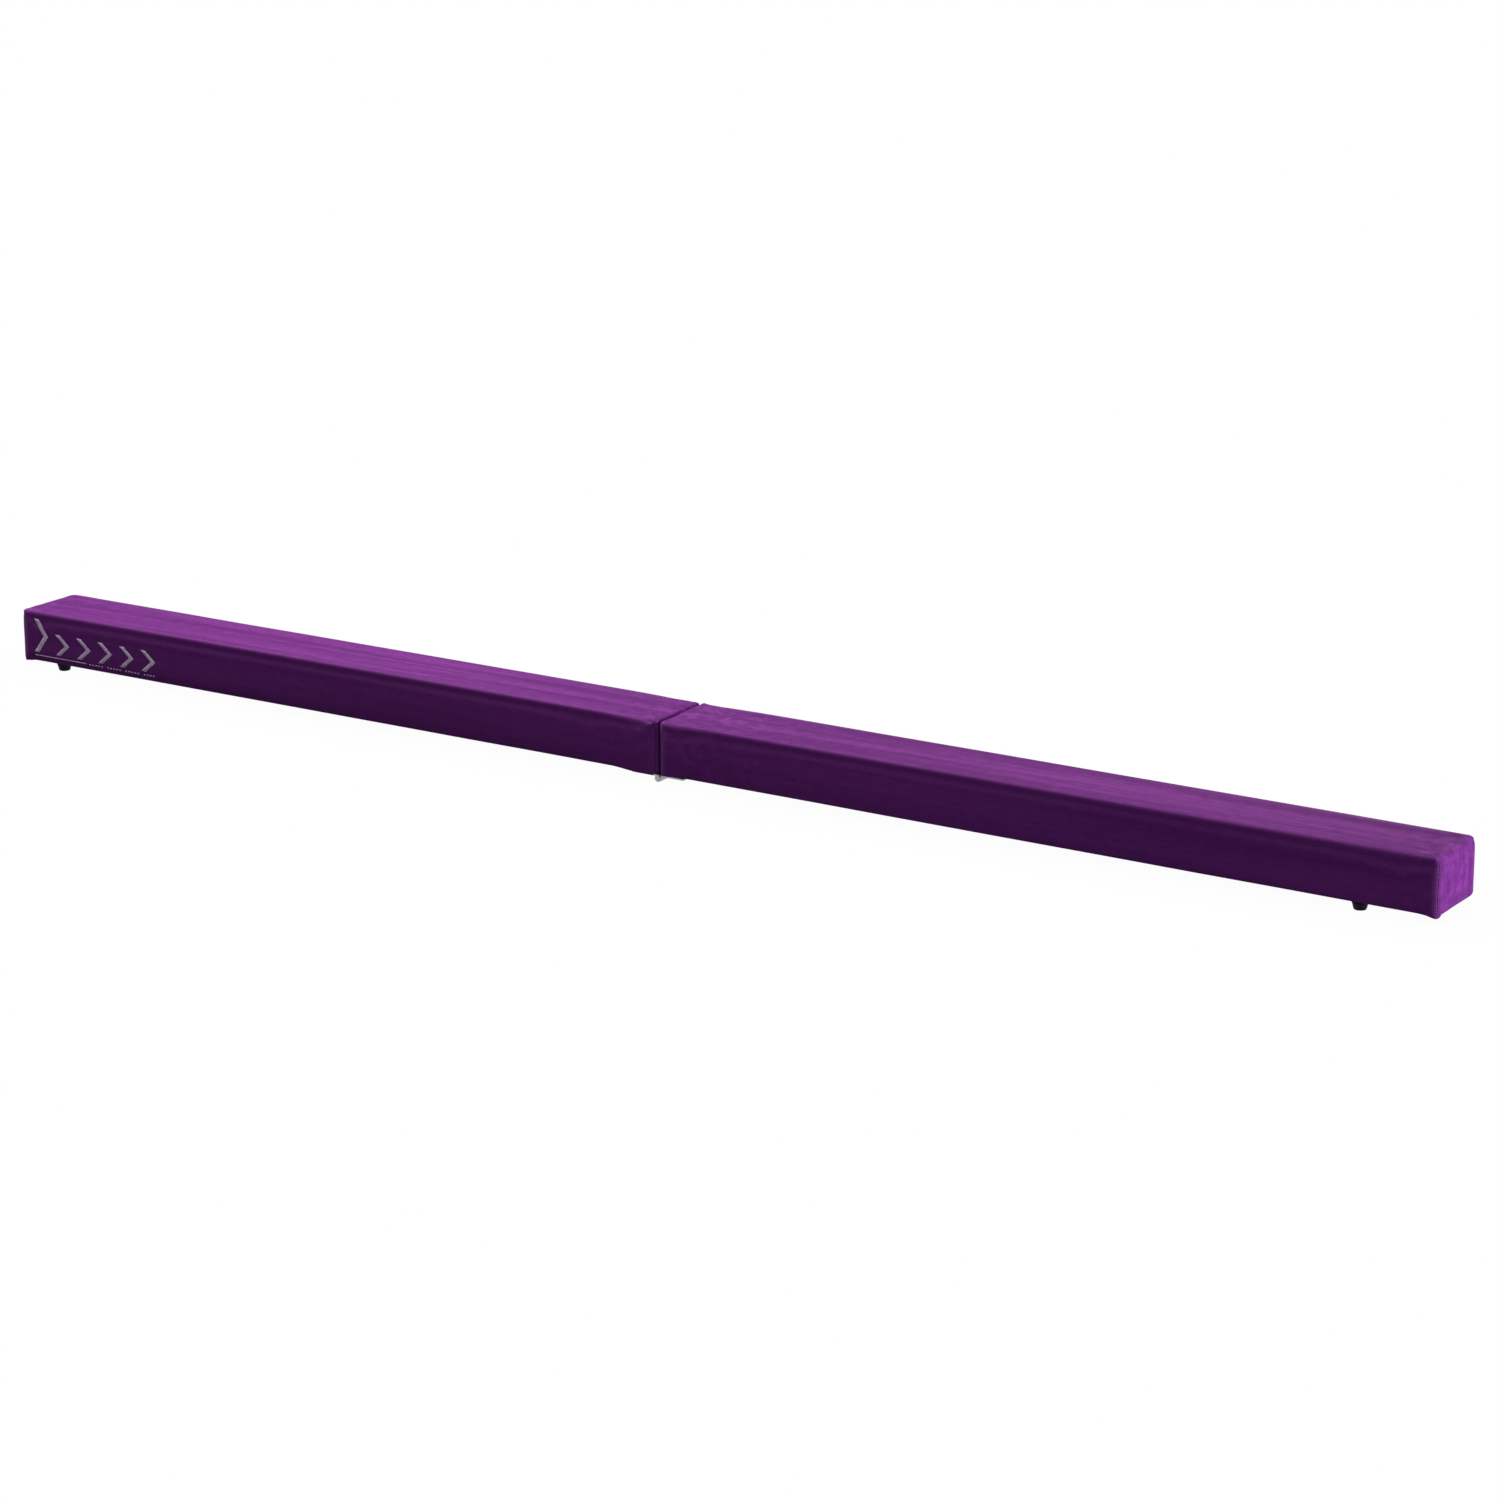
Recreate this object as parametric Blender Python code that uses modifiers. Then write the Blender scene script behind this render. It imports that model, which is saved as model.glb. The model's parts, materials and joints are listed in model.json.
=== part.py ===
"""Folding balance beam: two padded, suede-covered halves on one hinge.

The beam lies along X with its joint at X = 0. Y runs across it, with the front
at -Y, and Z is up, with the soles of the four rubber feet at Z = 0. The right
half folds down and under the left half, underside to underside, about the pin
of a butt hinge that is screwed across the underside at the joint. All sizes
are in metres.
"""

import math

import bmesh
import bpy
from mathutils import Vector

# The whole beam.
LENGTH = 2.100
WIDTH = 0.105
HEIGHT = 0.080
UNDERSIDE = 0.010  # the feet hold the cover's underside this far off the floor
JOINT_GAP = 0.002  # between the end faces of the two halves
GAP = 0.0003  # between pieces that rest on each other

# The cover and the foam under it.
SUEDE = 0.0012
FOAM_TOP = 0.008
FOAM_SIDE = 0.005
FOAM_END = 0.006
EDGE_RADIUS = 0.007
UNDER_RADIUS = 0.004
CORNER_STEPS = 4
SIDE_FLANGE = 0.030  # suede turned under along the sides
OUTER_FLANGE = 0.030  # and at the outer end
HINGE_FLANGE = 0.050  # and at the joint, where it reaches past the hinge
CLOTH = 0.0006
CLOTH_LAP = 0.005  # the cloth covers the flanges' edges by this much

# The hollow wooden core.
BOTTOM_PLANK = 0.015
TOP_PLANK = 0.012
RAIL = 0.015
HINGE_BLOCK = 0.060
MIDDLE_BLOCK = 0.045
OUTER_BLOCK = 0.120

# The feet, each held by one pan head screw on a washer.
FOOT_X = {"left": 0.985, "right": 0.949}  # unequal, so that the folded feet miss each other
FOOT_Y = 0.0395
FOOT_TOP_RADIUS = 0.010
FOOT_SOLE_RADIUS = 0.0075
FOOT_SOLE_ROUND = 0.0008
FOOT_SEAT = 0.0045  # depth of the pocket for the screw's head
FOOT_POCKET_RADIUS = 0.0046
WASHER = 0.0010
WASHER_RADIUS = 0.0043
PAN_HEAD_RADIUS = 0.0036
PAN_HEAD = 0.0022
PAN_SHANK_RADIUS = 0.0020
PAN_LENGTH = 0.020

# The hinge: its axis is low enough that the folded halves stand clear of each
# other's feet.
HINGE_WIDTH = 0.100
BARREL_RADIUS = 0.0047
AXIS_Z = (UNDERSIDE - GAP) / 2
LEAF = 0.0020
LEAF_REACH = 0.038
KNUCKLES = 5
PIN_RADIUS = 0.0026
PIN_PLAY = 0.0001
PIN_HEAD_RADIUS = 0.0037
PIN_HEAD = 0.0010
SCREW_ROWS = ((0.028, 0.038), (0.018, 0.013))  # distance from the joint and from the middle
FLAT_HEAD_RADIUS = 0.0033
FLAT_SHANK_RADIUS = 0.00175
FLAT_LENGTH = 0.016
FLAT_HEAD_DEPTH = 0.0002  # the head lies this far inside the leaf

SCREW_TIP = 0.004
RECESS_WIDTH = 0.0008
RECESS_LENGTH = 0.0036
RECESS_DEPTH = 0.0011
TURNED_STEPS = 24
SMALL_STEPS = 16
SMOOTH_ANGLE = math.radians(35)
MERGE = 0.00001
CUT_PAST = 0.002  # how far a cutter runs past the face it cuts
SAME_PLACE = 0.00001

# Where the layers meet, worked out from the sizes above.
INNER_END = JOINT_GAP / 2
OUTER_END = LENGTH / 2
LINING = SUEDE + GAP  # from the cover's outer face to what it wraps
CORE_NEAR = INNER_END + LINING + FOAM_END + GAP
CORE_FAR = OUTER_END - LINING - FOAM_END - GAP
CORE_HALF_WIDTH = WIDTH / 2 - LINING - FOAM_SIDE - GAP
CORE_BOTTOM = UNDERSIDE + LINING
CORE_TOP = HEIGHT - LINING - FOAM_TOP - GAP
RAIL_BOTTOM = CORE_BOTTOM + BOTTOM_PLANK + GAP
RAIL_TOP = CORE_TOP - TOP_PLANK - GAP
LEAF_TOP = AXIS_Z + BARREL_RADIUS
LEAF_BOTTOM = LEAF_TOP - LEAF
PIN_HOLE_RADIUS = PIN_RADIUS + PIN_PLAY

SIDES = {"left": -1, "right": 1}


def srgb(red, green, blue):
    """A screen colour, 0 to 255, as the linear values that a shader takes."""
    def linear(value):
        share = value / 255
        if share <= 0.04045:
            return share / 12.92
        return ((share + 0.055) / 1.055) ** 2.4
    return (linear(red), linear(green), linear(blue), 1.0)


FINISHES = {
    "purple_suede": (srgb(118, 62, 134), 0.95, 0.0),
    "foam": (srgb(226, 214, 178), 0.95, 0.0),
    "pine": (srgb(206, 172, 122), 0.7, 0.0),
    "black_cloth": (srgb(24, 22, 28), 0.9, 0.0),
    "black_rubber": (srgb(16, 16, 20), 0.75, 0.0),
    "zinc_steel": (srgb(176, 180, 186), 0.35, 1.0),
}


def clear_scene():
    for obj in list(bpy.data.objects):
        bpy.data.objects.remove(obj, do_unlink=True)


def new_collection(name):
    collection = bpy.data.collections.new(name)
    bpy.context.scene.collection.children.link(collection)
    return collection


def make_material(name, finish):
    colour, roughness, metallic = FINISHES[finish]
    material = bpy.data.materials.new(name)
    material.use_nodes = True
    shader = material.node_tree.nodes["Principled BSDF"]
    shader.inputs["Base Color"].default_value = colour
    shader.inputs["Roughness"].default_value = roughness
    shader.inputs["Metallic"].default_value = metallic
    material.diffuse_color = colour
    return material


class Half:
    """One half of the beam, whose pieces hang on an empty on the hinge's axis."""

    def __init__(self, name, parts, cutters):
        self.name = name
        self.side = SIDES[name]
        self.parts = parts
        self.cutters = cutters
        self.pivot = bpy.data.objects.new(name + "_half_pivot", None)
        self.pivot.location = (0, 0, AXIS_Z)
        self.pivot.empty_display_size = 0.02
        parts.objects.link(self.pivot)

    def along(self, near, far):
        """The X limits of a stretch measured outwards from the joint."""
        return (near, far) if self.side > 0 else (-far, -near)

    def add(self, name, mesh, at, finish):
        """Hangs a piece on the pivot, with its origin at a point of the beam's frame."""
        obj = bpy.data.objects.new(name, mesh)
        self.parts.objects.link(obj)
        obj.parent = self.pivot
        obj.location = Vector(at) - self.pivot.location
        mesh.materials.append(make_material(name, finish))
        return obj

    def add_cutter(self, name, mesh, at):
        obj = bpy.data.objects.new(name, mesh)
        self.cutters.objects.link(obj)
        obj.location = at
        obj.hide_render = True
        obj.display_type = "WIRE"
        return obj


def to_mesh(name, bm):
    """Makes the mesh, with its round stretches shaded smooth."""
    bmesh.ops.recalc_face_normals(bm, faces=bm.faces)
    mesh = bpy.data.meshes.new(name)
    bm.to_mesh(mesh)
    bm.free()
    mesh.shade_smooth()
    mesh.set_sharp_from_angle(angle=SMOOTH_ANGLE)
    return mesh


def evaluated_copy(obj):
    """The object's mesh as its modifiers, or its curve settings, leave it."""
    bpy.context.view_layer.update()
    evaluated = obj.evaluated_get(bpy.context.evaluated_depsgraph_get())
    copy = bmesh.new()
    mesh = bpy.data.meshes.new_from_object(evaluated)
    copy.from_mesh(mesh)
    bpy.data.meshes.remove(mesh)
    bmesh.ops.remove_doubles(copy, verts=copy.verts, dist=MERGE)
    return copy


def middle(x, y, z):
    return Vector((sum(x) / 2, sum(y) / 2, sum(z) / 2))


def box(x, y, z):
    """A box of the given limits, about its own middle."""
    bm = bmesh.new()
    bmesh.ops.create_cube(bm, size=1.0)
    size = Vector((x[1] - x[0], y[1] - y[0], z[1] - z[0]))
    bmesh.ops.scale(bm, vec=size, verts=bm.verts)
    return bm


def round_edges(bm, radius, wanted):
    edges = [edge for edge in bm.edges if wanted(edge)]
    bmesh.ops.bevel(
        bm, geom=edges, offset=radius, segments=CORNER_STEPS, profile=0.5, affect="EDGES", material=-1
    )


def soft_box(x, y, z, edge_radius, under_radius, square_ends=()):
    """A box with rounded edges, left square round the ends given as -1 or 1."""
    bm = box(x, y, z)
    half_length = (x[1] - x[0]) / 2
    bottom = (z[0] - z[1]) / 2

    def square(edge):
        ends = [end * half_length for end in square_ends]
        return any(all(abs(v.co.x - end) < SAME_PLACE for v in edge.verts) for end in ends)

    def underneath(edge):
        return all(v.co.z < bottom + SAME_PLACE for v in edge.verts)

    round_edges(bm, edge_radius, lambda edge: not square(edge) and not underneath(edge))
    round_edges(bm, under_radius, lambda edge: not square(edge) and underneath(edge))
    return bm


def cut_opening(bm, x, y):
    """Opens the lowest face between the X and Y limits."""
    for axis, at in ((0, x[0]), (0, x[1]), (1, y[0]), (1, y[1])):
        normal = Vector((0, 0, 0))
        normal[axis] = 1
        faces = [face for face in bm.faces if face.normal.z < -0.999]
        edges = {edge for face in faces for edge in face.edges}
        verts = {vert for face in faces for vert in face.verts}
        around = faces + list(edges) + list(verts)
        bmesh.ops.bisect_plane(bm, geom=around, plane_co=normal * at, plane_no=normal)

    def inside(face):
        centre = face.calc_center_median()
        return face.normal.z < -0.999 and x[0] < centre.x < x[1] and y[0] < centre.y < y[1]

    bmesh.ops.delete(bm, geom=[face for face in bm.faces if inside(face)], context="FACES")


def turned(name, profile, steps, closed=False):
    """Turns an open or closed profile of radii and heights about Z, into a closed mesh."""
    bm = bmesh.new()
    verts = [bm.verts.new((radius, 0, height)) for radius, height in profile]
    for first, second in zip(verts, verts[1:]):
        bm.edges.new((first, second))
    if closed:
        bm.edges.new((verts[-1], verts[0]))
    mesh = bpy.data.meshes.new(name + "_profile")
    bm.to_mesh(mesh)
    bm.free()
    guide = bpy.data.objects.new(name + "_guide", mesh)
    bpy.context.scene.collection.objects.link(guide)
    spin = guide.modifiers.new("turned", "SCREW")
    spin.axis = "Z"
    spin.angle = math.tau
    spin.steps = steps
    spin.render_steps = steps
    spin.use_merge_vertices = True
    spin.merge_threshold = MERGE
    whole = evaluated_copy(guide)
    bpy.data.objects.remove(guide, do_unlink=True)
    bpy.data.meshes.remove(mesh)
    return to_mesh(name, whole)


def cut(obj, cutter):
    boolean = obj.modifiers.new(cutter.name, "BOOLEAN")
    boolean.operation = "DIFFERENCE"
    boolean.solver = "EXACT"
    boolean.object = cutter


def quarter_round(centre_radius, centre_height, radius, steps=3):
    """Points of a quarter circle from straight out to straight down."""
    for step in range(steps + 1):
        angle = -math.pi / 2 * step / steps
        yield (centre_radius + radius * math.cos(angle), centre_height + radius * math.sin(angle))


def pan_screw_profile(grow=0.0):
    """Down from the tip to the domed head, with the head's seat at height 0."""
    shank = PAN_SHANK_RADIUS + grow
    head = PAN_HEAD_RADIUS + grow
    return (
        (0, PAN_LENGTH + grow),
        (shank, PAN_LENGTH - SCREW_TIP + grow),
        (shank, 0),
        (head, 0),
        (head, -0.55 * PAN_HEAD),
        (0.72 * head, -PAN_HEAD),
        (0, -PAN_HEAD),
    )


def flat_screw_profile(grow=0.0, past=0.0):
    """Down from the tip to the flat face of a countersunk head, at height 0."""
    shank = FLAT_SHANK_RADIUS + grow
    head = FLAT_HEAD_RADIUS + grow
    profile = [
        (0, FLAT_LENGTH + grow),
        (shank, FLAT_LENGTH - SCREW_TIP + grow),
        (shank, FLAT_HEAD_RADIUS - FLAT_SHANK_RADIUS),
        (head, 0),
    ]
    if past:
        profile.append((head, -past))
    profile.append((0, -past))
    return profile


def cut_recess(half, screw, at, head_face):
    """Cuts the crossed driver slots into a screw's head, whose face is at the given height."""
    slot_height = (head_face - CUT_PAST, head_face + RECESS_DEPTH)
    long_way = (-RECESS_LENGTH / 2, RECESS_LENGTH / 2)
    short_way = (-RECESS_WIDTH / 2, RECESS_WIDTH / 2)
    centre = Vector((at[0], at[1], sum(slot_height) / 2))
    for number, (x, y) in enumerate(((long_way, short_way), (short_way, long_way)), 1):
        mesh = to_mesh("recess", box(x, y, slot_height))
        cut(screw, half.add_cutter(f"{screw.name}_recess_{number}", mesh, centre))


def make_cover(half):
    """The suede cover: a shell turned under on all sides, open along the underside."""
    x = half.along(INNER_END, OUTER_END)
    y = (-WIDTH / 2, WIDTH / 2)
    z = (UNDERSIDE, HEIGHT)
    bm = soft_box(x, y, z, EDGE_RADIUS, UNDER_RADIUS)
    centre = middle(x, y, z)
    opening = half.along(INNER_END + HINGE_FLANGE, OUTER_END - OUTER_FLANGE)
    opening_y = WIDTH / 2 - SIDE_FLANGE
    cut_opening(bm, (opening[0] - centre.x, opening[1] - centre.x), (-opening_y, opening_y))
    mesh = to_mesh("cover", bm)
    cover = half.add(half.name + "_suede_cover", mesh, centre, "purple_suede")
    wall = cover.modifiers.new("suede", "SOLIDIFY")
    wall.thickness = SUEDE
    wall.offset = -1
    wall.use_even_offset = True
    return cover


def make_foam(half):
    """A channel of foam over the core's top and sides, and a pad on each end of it."""
    y = (LINING - WIDTH / 2, WIDTH / 2 - LINING)
    z = (CORE_BOTTOM, HEIGHT - LINING)
    radii = (EDGE_RADIUS - LINING, UNDER_RADIUS - LINING)

    x = half.along(CORE_NEAR, CORE_FAR)
    mesh = to_mesh("foam_wrap", soft_box(x, y, z, *radii, square_ends=(-1, 1)))
    wrap = half.add(half.name + "_foam_wrap", mesh, middle(x, y, z), "foam")
    space_x = (x[0] - CUT_PAST, x[1] + CUT_PAST)
    space_y = (-CORE_HALF_WIDTH - GAP, CORE_HALF_WIDTH + GAP)
    space_z = (CORE_BOTTOM - CUT_PAST, CORE_TOP + GAP)
    space = half.add_cutter(
        half.name + "_core_space",
        to_mesh("core_space", box(space_x, space_y, space_z)),
        middle(space_x, space_y, space_z),
    )
    cut(wrap, space)

    pads = (
        ("inner", INNER_END + LINING, CORE_NEAR - GAP, half.side),
        ("outer", CORE_FAR + GAP, OUTER_END - LINING, -half.side),
    )
    for where, near, far, square_end in pads:
        x = half.along(near, far)
        mesh = to_mesh("foam_pad", soft_box(x, y, z, *radii, square_ends=(square_end,)))
        half.add(f"{half.name}_foam_{where}_pad", mesh, middle(x, y, z), "foam")


def make_core(half):
    """A hollow box of planks, rails and blocks; gives back the bottom plank, which is drilled."""
    outside = CORE_HALF_WIDTH
    inside = outside - RAIL
    whole = (CORE_NEAR, CORE_FAR)
    centre = (CORE_NEAR + CORE_FAR) / 2
    rail_z = (RAIL_BOTTOM, RAIL_TOP)
    block_y = (GAP - inside, inside - GAP)
    pieces = (
        ("bottom_plank", whole, (-outside, outside), (CORE_BOTTOM, CORE_BOTTOM + BOTTOM_PLANK)),
        ("top_plank", whole, (-outside, outside), (CORE_TOP - TOP_PLANK, CORE_TOP)),
        ("front_rail", whole, (-outside, -inside), rail_z),
        ("rear_rail", whole, (inside, outside), rail_z),
        ("hinge_block", (CORE_NEAR, CORE_NEAR + HINGE_BLOCK), block_y, rail_z),
        ("middle_block", (centre - MIDDLE_BLOCK / 2, centre + MIDDLE_BLOCK / 2), block_y, rail_z),
        ("outer_block", (CORE_FAR - OUTER_BLOCK, CORE_FAR), block_y, rail_z),
    )
    made = {}
    for name, stretch, y, z in pieces:
        x = half.along(*stretch)
        mesh = to_mesh(name, box(x, y, z))
        made[name] = half.add(f"{half.name}_core_{name}", mesh, middle(x, y, z), "pine")
    return made["bottom_plank"]


def make_cloth(half):
    """The thin cloth that closes the opening in the cover's underside."""
    x = half.along(
        INNER_END + HINGE_FLANGE - CLOTH_LAP, OUTER_END - OUTER_FLANGE + CLOTH_LAP
    )
    reach = WIDTH / 2 - SIDE_FLANGE + CLOTH_LAP
    y = (-reach, reach)
    z = (UNDERSIDE - GAP - CLOTH, UNDERSIDE - GAP)
    mesh = to_mesh("cloth", box(x, y, z))
    half.add(half.name + "_underside_cloth", mesh, middle(x, y, z), "black_cloth")


def make_foot(half, row, y, drilled):
    """One tapered rubber foot with its washer and screw, and the screw's hole in the pieces above."""
    name = f"{half.name}_{row}_foot"
    at = Vector((half.side * FOOT_X[half.name], y, 0))
    hole = PAN_SHANK_RADIUS + GAP
    foot_top = UNDERSIDE - GAP
    profile = [(FOOT_TOP_RADIUS, foot_top)]
    profile += quarter_round(FOOT_SOLE_RADIUS - FOOT_SOLE_ROUND, FOOT_SOLE_ROUND, FOOT_SOLE_ROUND)
    profile += [(FOOT_POCKET_RADIUS, 0), (FOOT_POCKET_RADIUS, FOOT_SEAT), (hole, FOOT_SEAT), (hole, foot_top)]
    half.add(name, turned("foot", profile, TURNED_STEPS, closed=True), at, "black_rubber")

    washer_top = FOOT_SEAT - GAP
    washer_bottom = washer_top - WASHER
    profile = (
        (WASHER_RADIUS, washer_top),
        (WASHER_RADIUS, washer_bottom),
        (hole, washer_bottom),
        (hole, washer_top),
    )
    half.add(name + "_washer", turned("washer", profile, TURNED_STEPS, closed=True), at, "zinc_steel")

    seat = at + Vector((0, 0, washer_bottom - GAP))
    mesh = turned("pan_screw", pan_screw_profile(), SMALL_STEPS)
    screw = half.add(name + "_screw", mesh, seat, "zinc_steel")
    cut_recess(half, screw, at, seat.z - PAN_HEAD)

    hole_mesh = turned("pan_hole", pan_screw_profile(GAP), SMALL_STEPS)
    cutter = half.add_cutter(name + "_screw_hole", hole_mesh, seat)
    for piece in drilled:
        cut(piece, cutter)


def leaf_outline():
    """One leaf and its barrel in section, as a flat curve: X outwards, Y up from the axis."""
    top = LEAF_TOP - AXIS_Z
    bottom = LEAF_BOTTOM - AXIS_Z
    meets_leaf = math.asin(bottom / BARREL_RADIUS)
    sweep = 3 * math.pi / 2 + meets_leaf
    arc = [math.pi / 2 + sweep * step / TURNED_STEPS for step in range(TURNED_STEPS + 1)]
    points = [(BARREL_RADIUS * math.cos(angle), BARREL_RADIUS * math.sin(angle)) for angle in arc]
    points += [(LEAF_REACH, bottom), (LEAF_REACH, top)]
    curve = bpy.data.curves.new("leaf_outline", "CURVE")
    curve.dimensions = "2D"
    curve.fill_mode = "BOTH"
    curve.extrude = HINGE_WIDTH / 2
    spline = curve.splines.new("POLY")
    spline.points.add(len(points) - 1)
    for point, (x, y) in zip(spline.points, points):
        point.co = (x, y, 0, 1)
    spline.use_cyclic_u = True
    return curve


def leaf_mesh(side):
    """The leaf's section drawn out along Y, turned to face the given side."""
    guide = bpy.data.objects.new("leaf_guide", leaf_outline())
    bpy.context.scene.collection.objects.link(guide)
    bm = evaluated_copy(guide)
    bpy.data.objects.remove(guide, do_unlink=True)
    for vert in bm.verts:
        vert.co = Vector((side * vert.co.x, vert.co.z, vert.co.y))
    return to_mesh("hinge_leaf", bm)


def make_leaf(half, drilled):
    """A hinge leaf with its share of the knuckles, its four screws and their holes."""
    axis = Vector((0, 0, AXIS_Z))
    leaf = half.add(half.name + "_hinge_leaf", leaf_mesh(half.side), axis, "zinc_steel")
    pitch = HINGE_WIDTH / KNUCKLES
    first_notch = 1 if half.side < 0 else 0
    notch_x = half.along(-BARREL_RADIUS - CUT_PAST, BARREL_RADIUS + GAP)
    notch_z = (AXIS_Z - BARREL_RADIUS - CUT_PAST, LEAF_TOP + CUT_PAST)
    for number in range(first_notch, KNUCKLES, 2):
        start = number * pitch - HINGE_WIDTH / 2
        before = CUT_PAST if number == 0 else GAP / 2
        after = CUT_PAST if number == KNUCKLES - 1 else GAP / 2
        notch_y = (start - before, start + pitch + after)
        mesh = to_mesh("notch", box(notch_x, notch_y, notch_z))
        at = middle(notch_x, notch_y, notch_z)
        cut(leaf, half.add_cutter(f"{half.name}_knuckle_notch_{number + 1}", mesh, at))

    bore_end = HINGE_WIDTH / 2 + CUT_PAST
    bore_profile = ((0, bore_end), (PIN_HOLE_RADIUS, bore_end), (PIN_HOLE_RADIUS, -bore_end), (0, -bore_end))
    bore_mesh = turned("pin_bore", bore_profile, TURNED_STEPS)
    bore = half.add_cutter(half.name + "_pin_bore", bore_mesh, axis)
    bore.rotation_euler = (math.pi / 2, 0, 0)
    cut(leaf, bore)

    places = [(x, y) for x, across in SCREW_ROWS for y in (-across, across)]
    for number, (x, y) in enumerate(places, 1):
        at = Vector((half.side * x, y, LEAF_BOTTOM + FLAT_HEAD_DEPTH))
        name = f"{half.name}_hinge_screw_{number}"
        mesh = turned("flat_screw", flat_screw_profile(), SMALL_STEPS)
        screw = half.add(name, mesh, at, "zinc_steel")
        cut_recess(half, screw, at, at.z)
        hole_mesh = turned("flat_hole", flat_screw_profile(GAP, CUT_PAST), SMALL_STEPS)
        cutter = half.add_cutter(name + "_hole", hole_mesh, at)
        for piece in (leaf, *drilled):
            cut(piece, cutter)


def make_pin(half):
    """The hinge pin, with a riveted head past each end of the barrel."""
    barrel_end = HINGE_WIDTH / 2 + GAP
    pin_end = barrel_end + PIN_HEAD
    profile = (
        (0, pin_end),
        (0.7 * PIN_HEAD_RADIUS, pin_end),
        (PIN_HEAD_RADIUS, pin_end - 0.5 * PIN_HEAD),
        (PIN_HEAD_RADIUS, barrel_end),
        (PIN_RADIUS, barrel_end),
        (PIN_RADIUS, -barrel_end),
        (PIN_HEAD_RADIUS, -barrel_end),
        (PIN_HEAD_RADIUS, 0.5 * PIN_HEAD - pin_end),
        (0.7 * PIN_HEAD_RADIUS, -pin_end),
        (0, -pin_end),
    )
    mesh = turned("hinge_pin", profile, TURNED_STEPS)
    pin = half.add("hinge_pin", mesh, (0, 0, AXIS_Z), "zinc_steel")
    pin.rotation_euler = (math.pi / 2, 0, 0)


def make_half(name, parts, cutters):
    half = Half(name, parts, cutters)
    cover = make_cover(half)
    make_foam(half)
    plank = make_core(half)
    make_cloth(half)
    for row, y in (("front", -FOOT_Y), ("rear", FOOT_Y)):
        make_foot(half, row, y, (cover, plank))
    make_leaf(half, (cover, plank))
    return half


def shade_cut_pieces(parts):
    """Lets the flat faces set the shading round the holes cut in them."""
    for obj in parts.objects:
        if obj.modifiers:
            weighted = obj.modifiers.new("shading", "WEIGHTED_NORMAL")
            weighted.keep_sharp = True


def main():
    clear_scene()
    parts = new_collection("folding_balance_beam")
    cutters = new_collection("cutters")
    left = make_half("left", parts, cutters)
    make_half("right", parts, cutters)
    make_pin(left)
    shade_cut_pieces(parts)


main()
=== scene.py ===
"""Folding balance beam: two suede-covered padded halves on a steel hinge, on a pale floor.

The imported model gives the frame. This script adds the soft covers, their sewn
corners, the tucked and stapled underside, the print, the rubber feet and the
finishes of every piece.
"""

import json
import math

import bmesh
import bpy
from mathutils import Matrix, Vector, noise
from mathutils.bvhtree import BVHTree


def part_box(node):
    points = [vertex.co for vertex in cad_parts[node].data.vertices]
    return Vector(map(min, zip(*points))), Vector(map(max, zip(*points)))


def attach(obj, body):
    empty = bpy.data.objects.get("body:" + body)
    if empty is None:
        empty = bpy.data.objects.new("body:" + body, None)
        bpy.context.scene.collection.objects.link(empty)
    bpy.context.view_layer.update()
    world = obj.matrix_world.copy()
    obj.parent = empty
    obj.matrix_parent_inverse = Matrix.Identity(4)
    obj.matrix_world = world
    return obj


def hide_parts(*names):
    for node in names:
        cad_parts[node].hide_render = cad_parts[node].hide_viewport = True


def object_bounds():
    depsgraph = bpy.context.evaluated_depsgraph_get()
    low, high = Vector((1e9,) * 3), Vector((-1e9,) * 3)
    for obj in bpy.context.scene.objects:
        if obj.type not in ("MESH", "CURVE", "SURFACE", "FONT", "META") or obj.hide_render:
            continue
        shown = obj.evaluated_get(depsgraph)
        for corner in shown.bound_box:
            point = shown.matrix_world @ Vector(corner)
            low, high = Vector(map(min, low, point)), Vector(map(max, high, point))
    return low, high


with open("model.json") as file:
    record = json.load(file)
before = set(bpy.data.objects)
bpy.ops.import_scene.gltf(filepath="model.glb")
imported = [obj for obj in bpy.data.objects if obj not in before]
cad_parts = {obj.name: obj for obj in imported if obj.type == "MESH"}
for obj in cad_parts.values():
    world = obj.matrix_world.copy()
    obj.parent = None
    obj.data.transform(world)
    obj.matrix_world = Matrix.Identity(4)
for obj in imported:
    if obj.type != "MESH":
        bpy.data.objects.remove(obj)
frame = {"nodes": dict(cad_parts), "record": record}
cad_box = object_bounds()

HALVES = ("left", "right")
SIDE = {"left": -1, "right": 1}
MM = 0.001
COVER = {half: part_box(half + "_suede_cover") for half in HALVES}
TOP = cad_box[1].z
UNDERSIDE = COVER["left"][0].z
HALF_WIDTH = cad_box[1].y
INNER_END = COVER["right"][0].x
OUTER_END = COVER["right"][1].x

SUEDE_THICKNESS = 1.2 * MM
SAME_PLACE = 0.01 * MM  # points closer than this are one


# Shader trees ---------------------------------------------------------------

def feed(tree, socket, value):
    """Gives a socket a number, a colour or another node's output."""
    if isinstance(value, bpy.types.NodeSocket):
        tree.links.new(value, socket)
    else:
        socket.default_value = value


def add(tree, kind, inputs=None, **settings):
    """Adds a node, with its settings and then its inputs."""
    node = tree.nodes.new(kind)
    for name, value in settings.items():
        setattr(node, name, value)
    for socket, value in (inputs or {}).items():
        feed(tree, node.inputs[socket], value)
    return node


def maths(tree, operation, first, second=0.0, clamp=False):
    node = add(tree, "ShaderNodeMath", {0: first, 1: second}, operation=operation, use_clamp=clamp)
    return node.outputs[0]


def spread(tree, value, low, high, new_low=0.0, new_high=1.0):
    """Takes a value's range from low..high to new_low..new_high, and holds it there."""
    sockets = {"Value": value, "From Min": low, "From Max": high, "To Min": new_low, "To Max": new_high}
    return add(tree, "ShaderNodeMapRange", sockets).outputs["Result"]


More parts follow.
